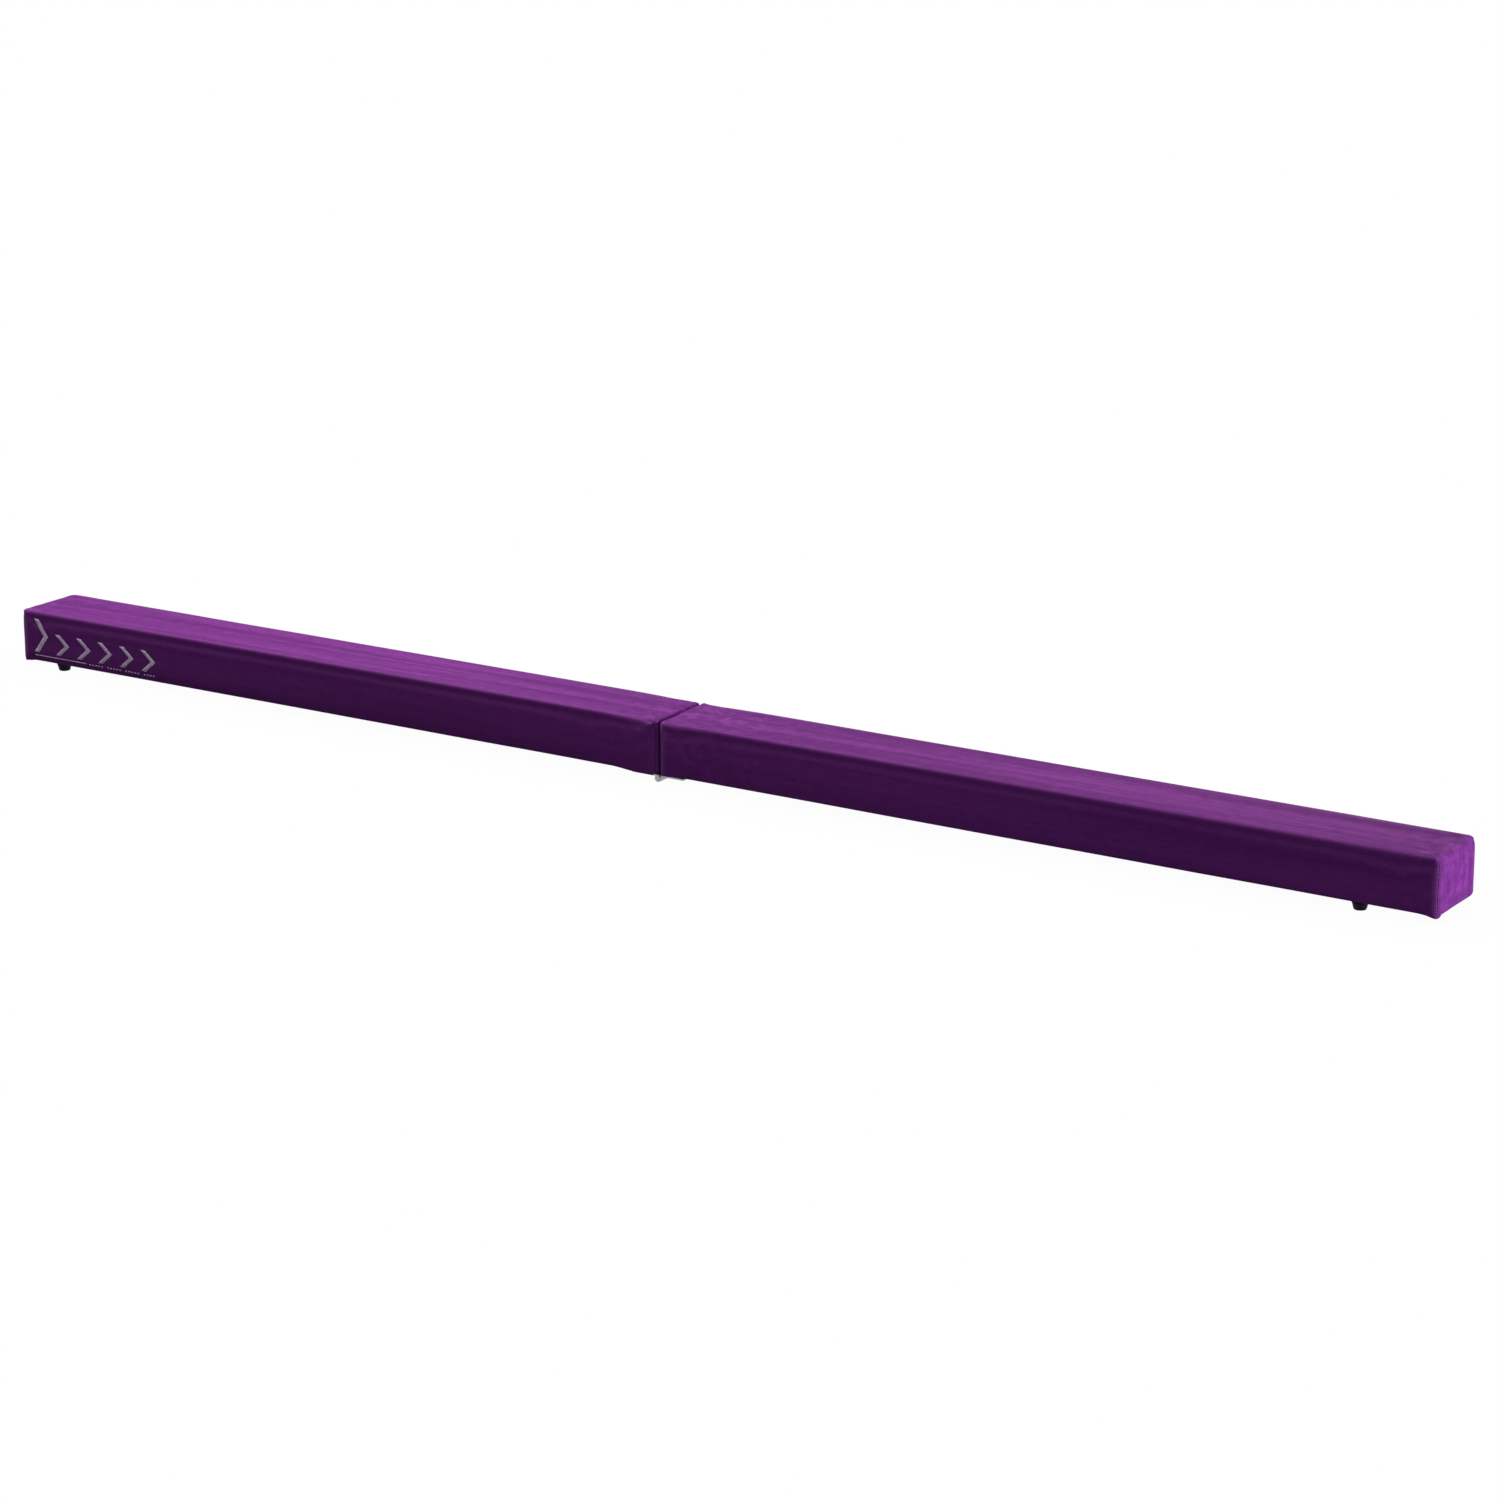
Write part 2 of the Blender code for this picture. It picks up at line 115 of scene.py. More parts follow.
def mix_value(tree, amount, first, second):
    inputs = {0: amount, 2: first, 3: second}
    return add(tree, "ShaderNodeMix", inputs, data_type="FLOAT").outputs[0]


def mix_colour(tree, amount, first, second, blend="MIX"):
    inputs = {0: amount, 6: first, 7: second}
    return add(tree, "ShaderNodeMix", inputs, data_type="RGBA", blend_type=blend).outputs[2]


def grey(tree, value):
    return add(tree, "ShaderNodeCombineColor", {0: value, 1: value, 2: value}).outputs[0]


def place_on(tree):
    """Where a point is on its piece, in metres."""
    return add(tree, "ShaderNodeTexCoord").outputs["Object"]


def stretched(tree, place, stretch):
    return add(tree, "ShaderNodeVectorMath", {0: place, 1: stretch}, operation="MULTIPLY").outputs[0]


def clouds(tree, inputs):
    return add(tree, "ShaderNodeTexNoise", inputs).outputs["Fac"]


def mark(tree, name):
    """One of the values that mark_suede writes on a cover."""
    return add(tree, "ShaderNodeAttribute", attribute_name=name).outputs["Fac"]


def group(name, inputs, outputs):
    """An empty shader group with its sockets; inputs are (name, type, default)."""
    tree = bpy.data.node_groups.new(name, "ShaderNodeTree")
    for socket, kind, value in inputs:
        made = tree.interface.new_socket(socket, in_out="INPUT", socket_type=kind)
        made.default_value = value
    for socket, kind in outputs:
        tree.interface.new_socket(socket, in_out="OUTPUT", socket_type=kind)
    return tree, tree.nodes.new("NodeGroupInput"), tree.nodes.new("NodeGroupOutput")


def use(tree, made, inputs=None):
    """Puts a shared effect in a material, and returns its outputs."""
    node = tree.nodes.new("ShaderNodeGroup")
    node.node_tree = made
    for socket, value in (inputs or {}).items():
        feed(tree, node.inputs[socket], value)
    return node.outputs


def make_streak_group():
    """Long soft marks, drawn out by Stretch; Shade is 0 to 1 about a middle of a half."""
    tree, given, result = group(
        "streaks",
        (
            ("Stretch", "NodeSocketVector", (1, 1, 1)),
            ("Per Metre", "NodeSocketFloat", 20.0),
            ("Detail", "NodeSocketFloat", 3.0),
            ("Contrast", "NodeSocketFloat", 1.0),
        ),
        (("Shade", "NodeSocketFloat"),),
    )
    drawn = stretched(tree, place_on(tree), given.outputs["Stretch"])
    marks = clouds(tree, {
        "Vector": drawn,
        "Scale": given.outputs["Per Metre"],
        "Detail": given.outputs["Detail"],
        "Roughness": 0.55,
    })
    centred = maths(tree, "SUBTRACT", marks, 0.5)
    stronger = maths(tree, "MULTIPLY", centred, given.outputs["Contrast"])
    shade = maths(tree, "ADD", stronger, 0.5, clamp=True)
    tree.links.new(shade, result.inputs["Shade"])
    return tree


CLUMP_SCALE = 0.22  # the fibres' clumps, as a share of their number in a metre
FINE_SHARE = 0.45


def make_fibre_group():
    """Short tangled fibres: Height for a bump and Fleck for a light and dark speckle."""
    tree, given, result = group(
        "fibres",
        (("Per Metre", "NodeSocketFloat", 1500.0), ("Lie", "NodeSocketVector", (0.35, 1, 1))),
        (("Height", "NodeSocketFloat"), ("Fleck", "NodeSocketFloat")),
    )
    laid = stretched(tree, place_on(tree), given.outputs["Lie"])
    fine_scale = given.outputs["Per Metre"]
    fine = clouds(tree, {"Vector": laid, "Scale": fine_scale, "Detail": 4.0, "Roughness": 0.7})
    coarse = clouds(tree, {
        "Vector": laid,
        "Scale": maths(tree, "MULTIPLY", fine_scale, CLUMP_SCALE),
        "Detail": 3.0,
        "Roughness": 0.6,
        "Distortion": 0.6,
    })
    fine_part = maths(tree, "MULTIPLY", fine, FINE_SHARE)
    coarse_part = maths(tree, "MULTIPLY", coarse, 1 - FINE_SHARE)
    both = maths(tree, "ADD", fine_part, coarse_part)
    tree.links.new(both, result.inputs["Height"])
    tree.links.new(spread(tree, both, 0.32, 0.68), result.inputs["Fleck"])
    return tree


CLEAN_LEVEL = 0.9  # dust lies where its clouds pass this, less the cover
DUST_EDGE = 3.0


def make_dust_group():
    """Patchy dust and grime: Amount is 0 where clean."""
    tree, given, result = group(
        "dust",
        (("Per Metre", "NodeSocketFloat", 40.0), ("Cover", "NodeSocketFloat", 0.4)),
        (("Amount", "NodeSocketFloat"),),
    )
    patches = clouds(tree, {
        "Vector": place_on(tree),
        "Scale": given.outputs["Per Metre"],
        "Detail": 6.0,
        "Roughness": 0.65,
    })
    threshold = maths(tree, "SUBTRACT", CLEAN_LEVEL, given.outputs["Cover"])
    over = maths(tree, "SUBTRACT", patches, threshold)
    amount = maths(tree, "MULTIPLY", over, DUST_EDGE, clamp=True)
    tree.links.new(amount, result.inputs["Amount"])
    return tree


STREAKS = make_streak_group()
FIBRES = make_fibre_group()
DUST = make_dust_group()


def new_material(name, **sockets):
    """A material with its Principled shader's plain sockets set."""
    material = bpy.data.materials.new(name)
    material.use_nodes = True
    tree = material.node_tree
    shader = tree.nodes["Principled BSDF"]
    for socket, value in sockets.items():
        shader.inputs[socket.replace("_", " ")].default_value = value
    return material, tree, shader


def connect(tree, shader, colour, rough, height, depth, strength):
    """Connects a finish's colour, roughness and relief."""
    relief = add(tree, "ShaderNodeBump", {"Height": height, "Distance": depth, "Strength": strength})
    tree.links.new(colour, shader.inputs["Base Color"])
    tree.links.new(rough, shader.inputs["Roughness"])
    tree.links.new(relief.outputs["Normal"], shader.inputs["Normal"])


# Finishes -------------------------------------------------------------------

SUEDE_DEEP = (0.078, 0.0092, 0.110, 1)
SUEDE_BODY = (0.106, 0.0150, 0.146, 1)
SUEDE_RAISED = (0.15, 0.0238, 0.199, 1)
# painted highlight: a lighter suede colour laid along the rounded edges, where the light catches the nap
SUEDE_EDGE_HIGHLIGHT = (0.215, 0.055, 0.27, 1)
BROAD_STREAKS = {"Stretch": (0.035, 1, 1), "Per Metre": 30.0, "Contrast": 2.4}
NARROW_STREAKS = {"Stretch": (0.03, 1, 1), "Per Metre": 210.0, "Contrast": 2.6}
NARROW_SHARE = 0.24
END_STREAKS = {"Stretch": (1, 1, 0.14), "Per Metre": 120.0, "Contrast": 1.8}
BRUSHED_PATCHES = {"Stretch": (0.8, 1, 1), "Per Metre": 75.0, "Detail": 5.0, "Contrast": 2.6}
BRUSHED = (0.16, 0.62)  # how far the patches cover the streaks: where new, and where handled
NAP_DEPTH = (0.6, 1.35)  # on the sides, and on the top
END_NAP_DEPTH = 0.5  # more than on the sides
# how strongly the painted highlight is mixed in along the rounded edges
RIM_HIGHLIGHT = 0.45


def make_suede():
    """Purple suede: the nap lies along the beam, and down the ends, with brushed patches and a painted
    highlight along its rounded edges.
    """
    material, tree, shader = new_material(
        "purple_suede", Sheen_Weight=0.06, Sheen_Roughness=0.4, Sheen_Tint=(1.0, 0.7, 0.92, 1)
    )
    shader.inputs["Specular IOR Level"].default_value = 0.05
    on_end = mark(tree, "end_face")
    broad = use(tree, STREAKS, BROAD_STREAKS)["Shade"]
    narrow = use(tree, STREAKS, NARROW_STREAKS)["Shade"]
    along = mix_value(tree, NARROW_SHARE, broad, narrow)
    down = use(tree, STREAKS, END_STREAKS)["Shade"]
    lie = mix_value(tree, on_end, along, down)
    patches = use(tree, STREAKS, BRUSHED_PATCHES)["Shade"]
    patchiness = spread(tree, mark(tree, "handled"), 0, 1, *BRUSHED)
    mixed = mix_value(tree, patchiness, lie, patches)
    top_and_sides = spread(tree, mark(tree, "top_face"), 0, 1, *NAP_DEPTH)
    strength = maths(tree, "ADD", top_and_sides, maths(tree, "MULTIPLY", on_end, END_NAP_DEPTH))
    centred = maths(tree, "MULTIPLY", maths(tree, "SUBTRACT", mixed, 0.5), strength)
    shade = maths(tree, "ADD", centred, 0.5, clamp=True)
    fibre = use(tree, FIBRES, {"Per Metre": 1500.0})
    mid = mix_colour(tree, spread(tree, shade, 0.15, 0.5), SUEDE_DEEP, SUEDE_BODY)
    napped = mix_colour(tree, spread(tree, shade, 0.5, 0.85), mid, SUEDE_RAISED)
    # painted highlight on the rounded edges, where the rim mark is high
    napped = mix_colour(tree, maths(tree, "MULTIPLY", mark(tree, "rim"), RIM_HIGHLIGHT), napped, SUEDE_EDGE_HIGHLIGHT)
    fleck = spread(tree, fibre["Fleck"], 0, 1, 0.84, 1.16)
    colour = mix_colour(tree, 1.0, napped, grey(tree, fleck), blend="MULTIPLY")
    rough = spread(tree, shade, 0, 1, 0.98, 0.82)
    connect(tree, shader, colour, rough, fibre["Height"], 0.35 * MM, 0.7)
    return material


# painted shade: the dark colour at the middle of each open cell, where its hollow is shaded
FOAM_PORE_SHADE = (0.42, 0.34, 0.2, 1)
FOAM_WALL = (0.78, 0.69, 0.46, 1)
FOAM_AGED = (0.66, 0.52, 0.27, 1)


def make_foam():
    """Cream cut foam, with open cells whose hollows are darkened by painted shade."""
    material, tree, shader = new_material("cream_foam")
    sockets = {"Vector": place_on(tree), "Scale": 900.0}
    cells = add(tree, "ShaderNodeTexVoronoi", sockets).outputs["Distance"]
    aged = use(tree, DUST, {"Per Metre": 12.0, "Cover": 0.5})["Amount"]
    # painted shade in the cell hollows, darker towards each cell's middle
    pores = mix_colour(tree, spread(tree, cells, 0.1, 0.6), FOAM_PORE_SHADE, FOAM_WALL)
    colour = mix_colour(tree, aged, pores, FOAM_AGED)
    rough = spread(tree, cells, 0, 1, 1.0, 0.85)
    connect(tree, shader, colour, rough, cells, 0.5 * MM, 0.8)
    return material


PINE_LIGHT = (0.62, 0.41, 0.2, 1)
PINE_DARK = (0.42, 0.23, 0.09, 1)
PINE_PORE = (0.3, 0.15, 0.06, 1)


def make_pine():
    """Planed pine, with its grain along the beam."""
    material, tree, shader = new_material("planed_pine")
    mapping = {"Vector": place_on(tree), "Scale": (0.06, 1, 1)}
    drawn = add(tree, "ShaderNodeMapping", mapping).outputs[0]
    rings = add(
        tree,
        "ShaderNodeTexWave",
        {"Vector": drawn, "Scale": 55.0, "Distortion": 5.0, "Detail": 3.0, "Detail Scale": 1.2},
        wave_type="RINGS",
        rings_direction="X",
    ).outputs["Fac"]
    pores = use(tree, STREAKS, {"Stretch": (0.03, 1, 1), "Per Metre": 900.0, "Contrast": 1.6})["Shade"]
    grain = mix_colour(tree, spread(tree, rings, 0.3, 1.0), PINE_LIGHT, PINE_DARK)
    colour = mix_colour(tree, spread(tree, pores, 0.5, 1.0, 0, 0.35), grain, PINE_PORE)
    rough = spread(tree, pores, 0, 1, 0.55, 0.8)
    connect(tree, shader, colour, rough, pores, 0.1 * MM, 0.5)
    return material


LINING_DEEP = (0.006, 0.006, 0.008, 1)
LINING_RAISED = (0.02, 0.019, 0.024, 1)
LINING_FIBRE = (0.036, 0.034, 0.04, 1)
LINING_DUST = (0.06, 0.055, 0.05, 1)


def make_lining():
    """Black spun cloth, with its fine spot-bonded pattern."""
    material, tree, shader = new_material("black_lining", Sheen_Weight=0.1)
    sockets = {"Vector": place_on(tree), "Scale": 650.0, "Randomness": 0.25}
    spots = add(tree, "ShaderNodeTexVoronoi", sockets).outputs["Distance"]
    fibre = use(tree, FIBRES, {"Per Metre": 900.0, "Lie": (1, 1, 1)})
    bonded = spread(tree, spots, 0.1, 0.45)
    cloth = mix_colour(tree, bonded, LINING_DEEP, LINING_RAISED)
    colour = mix_colour(tree, spread(tree, fibre["Fleck"], 0.4, 1, 0, 0.5), cloth, LINING_FIBRE)
    dusted = mix_colour(tree, use(tree, DUST, {"Cover": 0.36})["Amount"], colour, LINING_DUST)
    rough = spread(tree, bonded, 0, 1, 0.6, 0.95)
    connect(tree, shader, dusted, rough, bonded, 0.15 * MM, 0.8)
    return material


RUBBER_BLACK = (0.002, 0.002, 0.0045, 1)
RUBBER_BLOOM = (0.024, 0.023, 0.026, 1)


def make_rubber():
    """Black moulded rubber, with a faint skin texture and a dusty bloom."""
    material, tree, shader = new_material("black_rubber")
    shader.inputs["Specular IOR Level"].default_value = 0.08
    fibre = use(tree, FIBRES, {"Per Metre": 1100.0, "Lie": (1, 1, 1)})
    dusty = use(tree, DUST, {"Per Metre": 160.0, "Cover": 0.42})["Amount"]
    colour = mix_colour(tree, spread(tree, dusty, 0, 1, 0, 0.16), RUBBER_BLACK, RUBBER_BLOOM)
    rough = spread(tree, fibre["Fleck"], 0, 1, 0.5, 0.72)
    connect(tree, shader, colour, rough, fibre["Height"], 0.08 * MM, 0.6)
    return material


ZINC_DARK = (0.24, 0.25, 0.27, 1)
ZINC_PALE = (0.4, 0.41, 0.43, 1)
ZINC_DULL = (0.2, 0.2, 0.2, 1)


def make_zinc():
    """Zinc-plated steel: pale, with rolling lines, small scratches and a dull bloom."""
    material, tree, shader = new_material("zinc_steel", Metallic=1.0)
    rolled = use(tree, STREAKS, {"Stretch": (1, 0.02, 1), "Per Metre": 1800.0, "Contrast": 1.6})["Shade"]
    bloom = use(tree, DUST, {"Per Metre": 220.0, "Cover": 0.47})["Amount"]
    plated = mix_colour(tree, rolled, ZINC_DARK, ZINC_PALE)
    colour = mix_colour(tree, spread(tree, bloom, 0, 1, 0, 0.6), plated, ZINC_DULL)
    smooth = spread(tree, rolled, 0, 1, 0.28, 0.4)
    rough = maths(tree, "ADD", smooth, maths(tree, "MULTIPLY", bloom, 0.22))
    connect(tree, shader, colour, rough, rolled, 0.03 * MM, 0.5)
    return material


INK_DARK = (0.43, 0.32, 0.49, 1)
INK_PALE = (0.67, 0.53, 0.74, 1)


def make_ink():
    """Pale mauve screen-print ink, broken up by the suede's fibres."""
    material, tree, shader = new_material("mauve_ink", Sheen_Weight=0.15)
    shader.inputs["Specular IOR Level"].default_value = 0.2
    fibre = use(tree, FIBRES, {"Per Metre": 1300.0})
    worn = use(tree, DUST, {"Per Metre": 260.0, "Cover": 0.4})["Amount"]
    ink = mix_colour(tree, fibre["Fleck"], INK_DARK, INK_PALE)
    colour = mix_colour(tree, spread(tree, worn, 0, 1, 0, 0.55), ink, SUEDE_BODY)
    rough = spread(tree, fibre["Fleck"], 0, 1, 0.9, 0.7)
    connect(tree, shader, colour, rough, fibre["Height"], 0.2 * MM, 0.6)
    return material


THREAD_DARK = (0.1, 0.024, 0.13, 1)
THREAD_PALE = (0.2, 0.065, 0.25, 1)


def make_thread():
    """Twisted polyester thread, a shade lighter than the suede."""
    material, tree, shader = new_material("purple_thread", Sheen_Weight=0.2)
    twist = use(tree, STREAKS, {"Per Metre": 2600.0, "Contrast": 2.4})["Shade"]
    colour = mix_colour(tree, twist, THREAD_DARK, THREAD_PALE)
    rough = spread(tree, twist, 0, 1, 0.45, 0.65)
    connect(tree, shader, colour, rough, twist, 0.08 * MM, 0.6)
    return material


FINISH = {
    "suede": make_suede(),
    "foam": make_foam(),
    "pine": make_pine(),
    "lining_cloth": make_lining(),
    "foot_rubber": make_rubber(),
    "zinc_steel": make_zinc(),
    "ink": make_ink(),
    "thread": make_thread(),
}


# Making pieces --------------------------------------------------------------

def mesh_of(name, bm, smooth_angle=None):
    """The finished mesh: smooth all over, or only across edges flatter than an angle in degrees."""
    mesh = bpy.data.meshes.new(name)
    bm.to_mesh(mesh)
    bm.free()
    mesh.shade_smooth()
    if smooth_angle is not None:
        mesh.set_sharp_from_angle(angle=math.radians(smooth_angle))
    return mesh


def new_object(name, data):
    obj = bpy.data.objects.new(name, data)
    bpy.context.scene.collection.objects.link(obj)
    return obj


def piece(name, mesh, half, slot, finish=None):
    """Puts a piece in the scene, on its half of the beam."""
    obj = new_object(name, mesh)
    mesh.materials.clear()
    mesh.materials.append(FINISH[finish or slot])
    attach(obj, half + "_half")
    return obj


def add_wall(obj, thickness, offset, even=False):
    """Gives a piece of cloth or ink its thickness."""
    wall = obj.modifiers.new("thickness", "SOLIDIFY")
    wall.thickness = thickness
    wall.offset = offset
    wall.use_even_offset = even


def evaluated_mesh(obj):
    bpy.context.view_layer.update()
    evaluated = obj.evaluated_get(bpy.context.evaluated_depsgraph_get())
    return bpy.data.meshes.new_from_object(evaluated)


def joined(bm, other):
    """Adds another bmesh's shape to the first, and frees the other."""
    loose = bpy.data.meshes.new("loose")
    other.to_mesh(loose)
    other.free()
    bm.from_mesh(loose)
    bpy.data.meshes.remove(loose)


def block(length, width, height):
    bm = bmesh.new()
    bmesh.ops.create_cube(bm, size=1.0)
    bmesh.ops.scale(bm, vec=(length, width, height), verts=bm.verts)
    return bm


def cut_across(bm, axis, positions):
    """Cuts new edges round the shape where it crosses each position on an axis."""
    normal = Vector((0, 0, 0))
    normal[axis] = 1
    for at in positions:
        whole = bm.verts[:] + bm.edges[:] + bm.faces[:]
        bmesh.ops.bisect_plane(bm, geom=whole, dist=SAME_PLACE, plane_co=normal * at, plane_no=normal)


def rounded(bm, edges, radius, segments):
    """Rounds edges off."""
    bmesh.ops.bevel(
        bm, geom=edges, offset=radius, segments=segments, profile=0.5, affect="EDGES", material=-1
    )


def evenly(start, end, count):
    """The places that divide a length into count equal parts."""
    return [start + (end - start) * step / count for step in range(1, count)]


def closer_at_ends(start, end, count, crowding):
    """Places between two ends, closer together near both; crowding is 0 to 1."""
    found = []
    for step in range(1, count):
        share = step / count
        share -= crowding * math.sin(math.tau * share) / math.tau
        found.append(start + (end - start) * share)
    return found


def fading(distance, reach):
    """1 at nothing, falling away over the reach."""
    return math.exp(-((max(distance, 0.0) / reach) ** 2))


def limited(value):
    """The value, held between 0 and 1."""
    return max(0.0, min(1.0, value))


# The suede covers -----------------------------------------------------------

TOP_ROUND = 7.2 * MM
TOP_ROUND_STEPS = 5
UNDER_ROUND = 4 * MM
UNDER_ROUND_STEPS = 3
GRID_ALONG = 110
GRID_CROWDING = 0.78  # of the grid's lines near the ends
GRID_ACROSS = 18
GRID_UP = 11
CLOTH_LAP = 5 * MM  # of the lining cloth over the turned-under suede
FLANGE_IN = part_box("left_underside_cloth")[1].y - CLOTH_LAP

PADDING_PRESSURE = 4
PADDING_FRAMES = 20
STAPLED_HEIGHT = 0.2 * MM
SWELL_CAP = 1.0 * MM  # the padding is firm
SINK_CAP = 0.25 * MM


def cover_form(half):
    """The closed form that the suede is pulled over, in a grid that is finer near the ends."""
    side = SIDE[half]
    height = TOP - UNDERSIDE
    bm = block(OUTER_END - INNER_END, 2 * HALF_WIDTH, height)
    centre = (side * (INNER_END + OUTER_END) / 2, 0, UNDERSIDE + height / 2)
    bmesh.ops.translate(bm, vec=centre, verts=bm.verts)

    def underneath(edge):
        return all(v.co.z < UNDERSIDE + SAME_PLACE for v in edge.verts)

    rounds = ((TOP_ROUND, TOP_ROUND_STEPS, False), (UNDER_ROUND, UNDER_ROUND_STEPS, True))
    for radius, segments, wanted in rounds:
        rounded(bm, [edge for edge in bm.edges if underneath(edge) == wanted], radius, segments)
    reach = HALF_WIDTH - TOP_ROUND
    cut_across(bm, 1, evenly(-reach, reach, GRID_ACROSS))
    cut_across(bm, 2, evenly(UNDERSIDE + UNDER_ROUND, TOP - TOP_ROUND, GRID_UP))
    start = INNER_END + TOP_ROUND
    end = OUTER_END - TOP_ROUND
    cut_across(bm, 0, [side * at for at in closer_at_ends(start, end, GRID_ALONG, GRID_CROWDING)])
    bmesh.ops.recalc_face_normals(bm, faces=bm.faces)
    return bm


def swell(obj):
    """Blows the form up like packed padding, held where it is stapled underneath."""
    mesh = obj.data
    before = [v.co.copy() for v in mesh.vertices]
    normals = [v.normal.copy() for v in mesh.vertices]
    held = [v.index for v in mesh.vertices if v.co.z < UNDERSIDE + STAPLED_HEIGHT]
    stapled = obj.vertex_groups.new(name="stapled")
    stapled.add(held, 1.0, "REPLACE")
    cloth = obj.modifiers.new("padding", "CLOTH")
    settings = cloth.settings
    settings.quality = 5
    settings.mass = 0.3
    settings.tension_stiffness = 25
    settings.compression_stiffness = 25
    settings.shear_stiffness = 12
    settings.bending_stiffness = 2
    settings.use_pressure = True
    settings.uniform_pressure_force = PADDING_PRESSURE
    settings.vertex_group_mass = "stapled"
    settings.effector_weights.gravity = 0
    cloth.point_cache.frame_start = 1
    cloth.point_cache.frame_end = PADDING_FRAMES
    for number in range(1, PADDING_FRAMES + 1):
        bpy.context.scene.frame_set(number)
    blown = evaluated_mesh(obj)
    for vert, start, normal, end in zip(mesh.vertices, before, normals, blown.vertices):
        moved = end.co - start
        out = moved.dot(normal)
        along = moved - normal * out
        cap = SWELL_CAP if out > 0 else SINK_CAP
        vert.co = start + normal * cap * math.tanh(out / cap)
        if along.length > 0:
            vert.co += along * (SWELL_CAP * math.tanh(along.length / SWELL_CAP) / along.length)
    obj.modifiers.remove(cloth)
    obj.vertex_groups.clear()
    bpy.data.meshes.remove(blown)
    bpy.context.scene.frame_set(1)


def subdivided(obj):
    """The object's mesh after one level of subdivision."""
    fine = obj.modifiers.new("finer", "SUBSURF")
    fine.levels = 1
    fine.render_levels = 1
    mesh = evaluated_mesh(obj)
    obj.modifiers.remove(fine)
    return mesh


SLOW_WAVE = 0.22 * MM
END_WAVE = 0.16 * MM
END_WAVE_REACH = 60 * MM
TOP_CREASE = 0.42 * MM
SIDE_CREASE = 0.38 * MM
CREASE_REACH = 26 * MM
CREASE_START = 6 * MM  # from the corner
LOOSE_CORNER = 2.2  # times as deep at the left half's front corner, by the joint
GATHER = 0.2 * MM  # small pleats down the free end, below its top edge
GATHER_PITCH = 13 * MM
GATHER_REACH = 16 * MM

EDGE_FILL = {"left": 1.55 * MM, "right": 1.2 * MM}  # the suede is tight over the long top edges
EDGE_FILL_START = 55 * MM  # but not near the joint
NOTCH_FILL = 1.4 * MM  # at the joint the padding fills the rear edge out
JOINT_EASE = 1.2 * MM  # and the front upright edges are rounder
END_EASE = 1.3 * MM
DIAGONAL = 0.7
REAR_SPREAD = 50 * MM  # front to rear is a gradual change over this width
CORNER_PULL_IN = {-1: 0.6 * MM, 1: 1.2 * MM}  # the top corners are drawn in by their folds
CORNER_REACH = 13 * MM

LEAF_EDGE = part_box("left_hinge_leaf")[1].y + 0.25 * MM
LIP_DROP = {"left": 4.4 * MM, "right": 3.0 * MM}  # the suede hangs down beside the hinge
LIP_LENGTH = {"left": 24 * MM, "right": 10 * MM}
LIP_REACH = {"left": 32 * MM, "right": 18 * MM}
LIP_HEIGHT = 11 * MM
LIP_SPREAD = 1.1 * MM
KNOT_EDGE = HALF_WIDTH - 10 * MM  # the folded suede bulges down at the front outer corners
KNOT_DROP = 3.0 * MM
KNOT_HEIGHT = 9 * MM
KNOT_SPREAD = 3 * MM
REAR_CORNER_RISE = 1.2 * MM  # and the rear outer corners are rounder
JOINT_SAG = 0.7 * MM
JOINT_SAG_REACH = 12 * MM
JOINT_SAG_DEPTH = 30 * MM
CLEARANCE = 0.5 * MM  # each half stays this far from the middle of the joint


def distances(p):
    """A place's distances from the joint, the free end, the nearer of them, the side and the top."""
    from_joint = abs(p.x) - INNER_END
    from_end = OUTER_END - abs(p.x)
    return from_joint, from_end, min(from_joint, from_end), HALF_WIDTH - abs(p.y), TOP - p.z


def crease(across, up, lobes, turn):
    """Creases that fan out from a corner: across and up are distances from it."""
    reach = math.hypot(across, up)
    wave = math.sin(lobes * math.atan2(up, across) + turn)
    return wave * fading(reach, CREASE_REACH) * min(1.0, reach / CREASE_START)


def stand_off(p, n, half):
    """How far the suede stands off its form: slow waves, creases at the corners, pleats on the end."""
    from_joint, from_end, near_end, edge, drop = distances(p)
    side = SIDE[half]
    row = 1 if p.y > 0 else -1
    at_joint = from_joint <= from_end
    lift = SLOW_WAVE * noise.noise(Vector((p.x * 7, p.y * 30 + side, p.z * 30)))
    end_wave = noise.noise(Vector((p.x * 45, p.y * 60, p.z * 60)))
    lift += END_WAVE * end_wave * fading(near_end, END_WAVE_REACH)
    turn = 1.3 * row + 0.9 * side + (0 if at_joint else 0.7)
    loose = LOOSE_CORNER if half == "left" and row < 0 and at_joint else 1.0
    if n.z > 0.5:
        lift += TOP_CREASE * loose * crease(near_end, edge, 7, turn)
    elif abs(n.y) > 0.5:
        lift += SIDE_CREASE * loose * crease(near_end, drop, 6, turn)
    elif abs(n.x) > 0.5 and not at_joint:
        wander = 2.2 * noise.noise(Vector((p.y * 80, p.z * 30, side)))
        pleat = math.sin(p.y * math.tau / GATHER_PITCH + wander)
        lift += GATHER * pleat * fading(drop - CREASE_START, GATHER_REACH)
    return lift


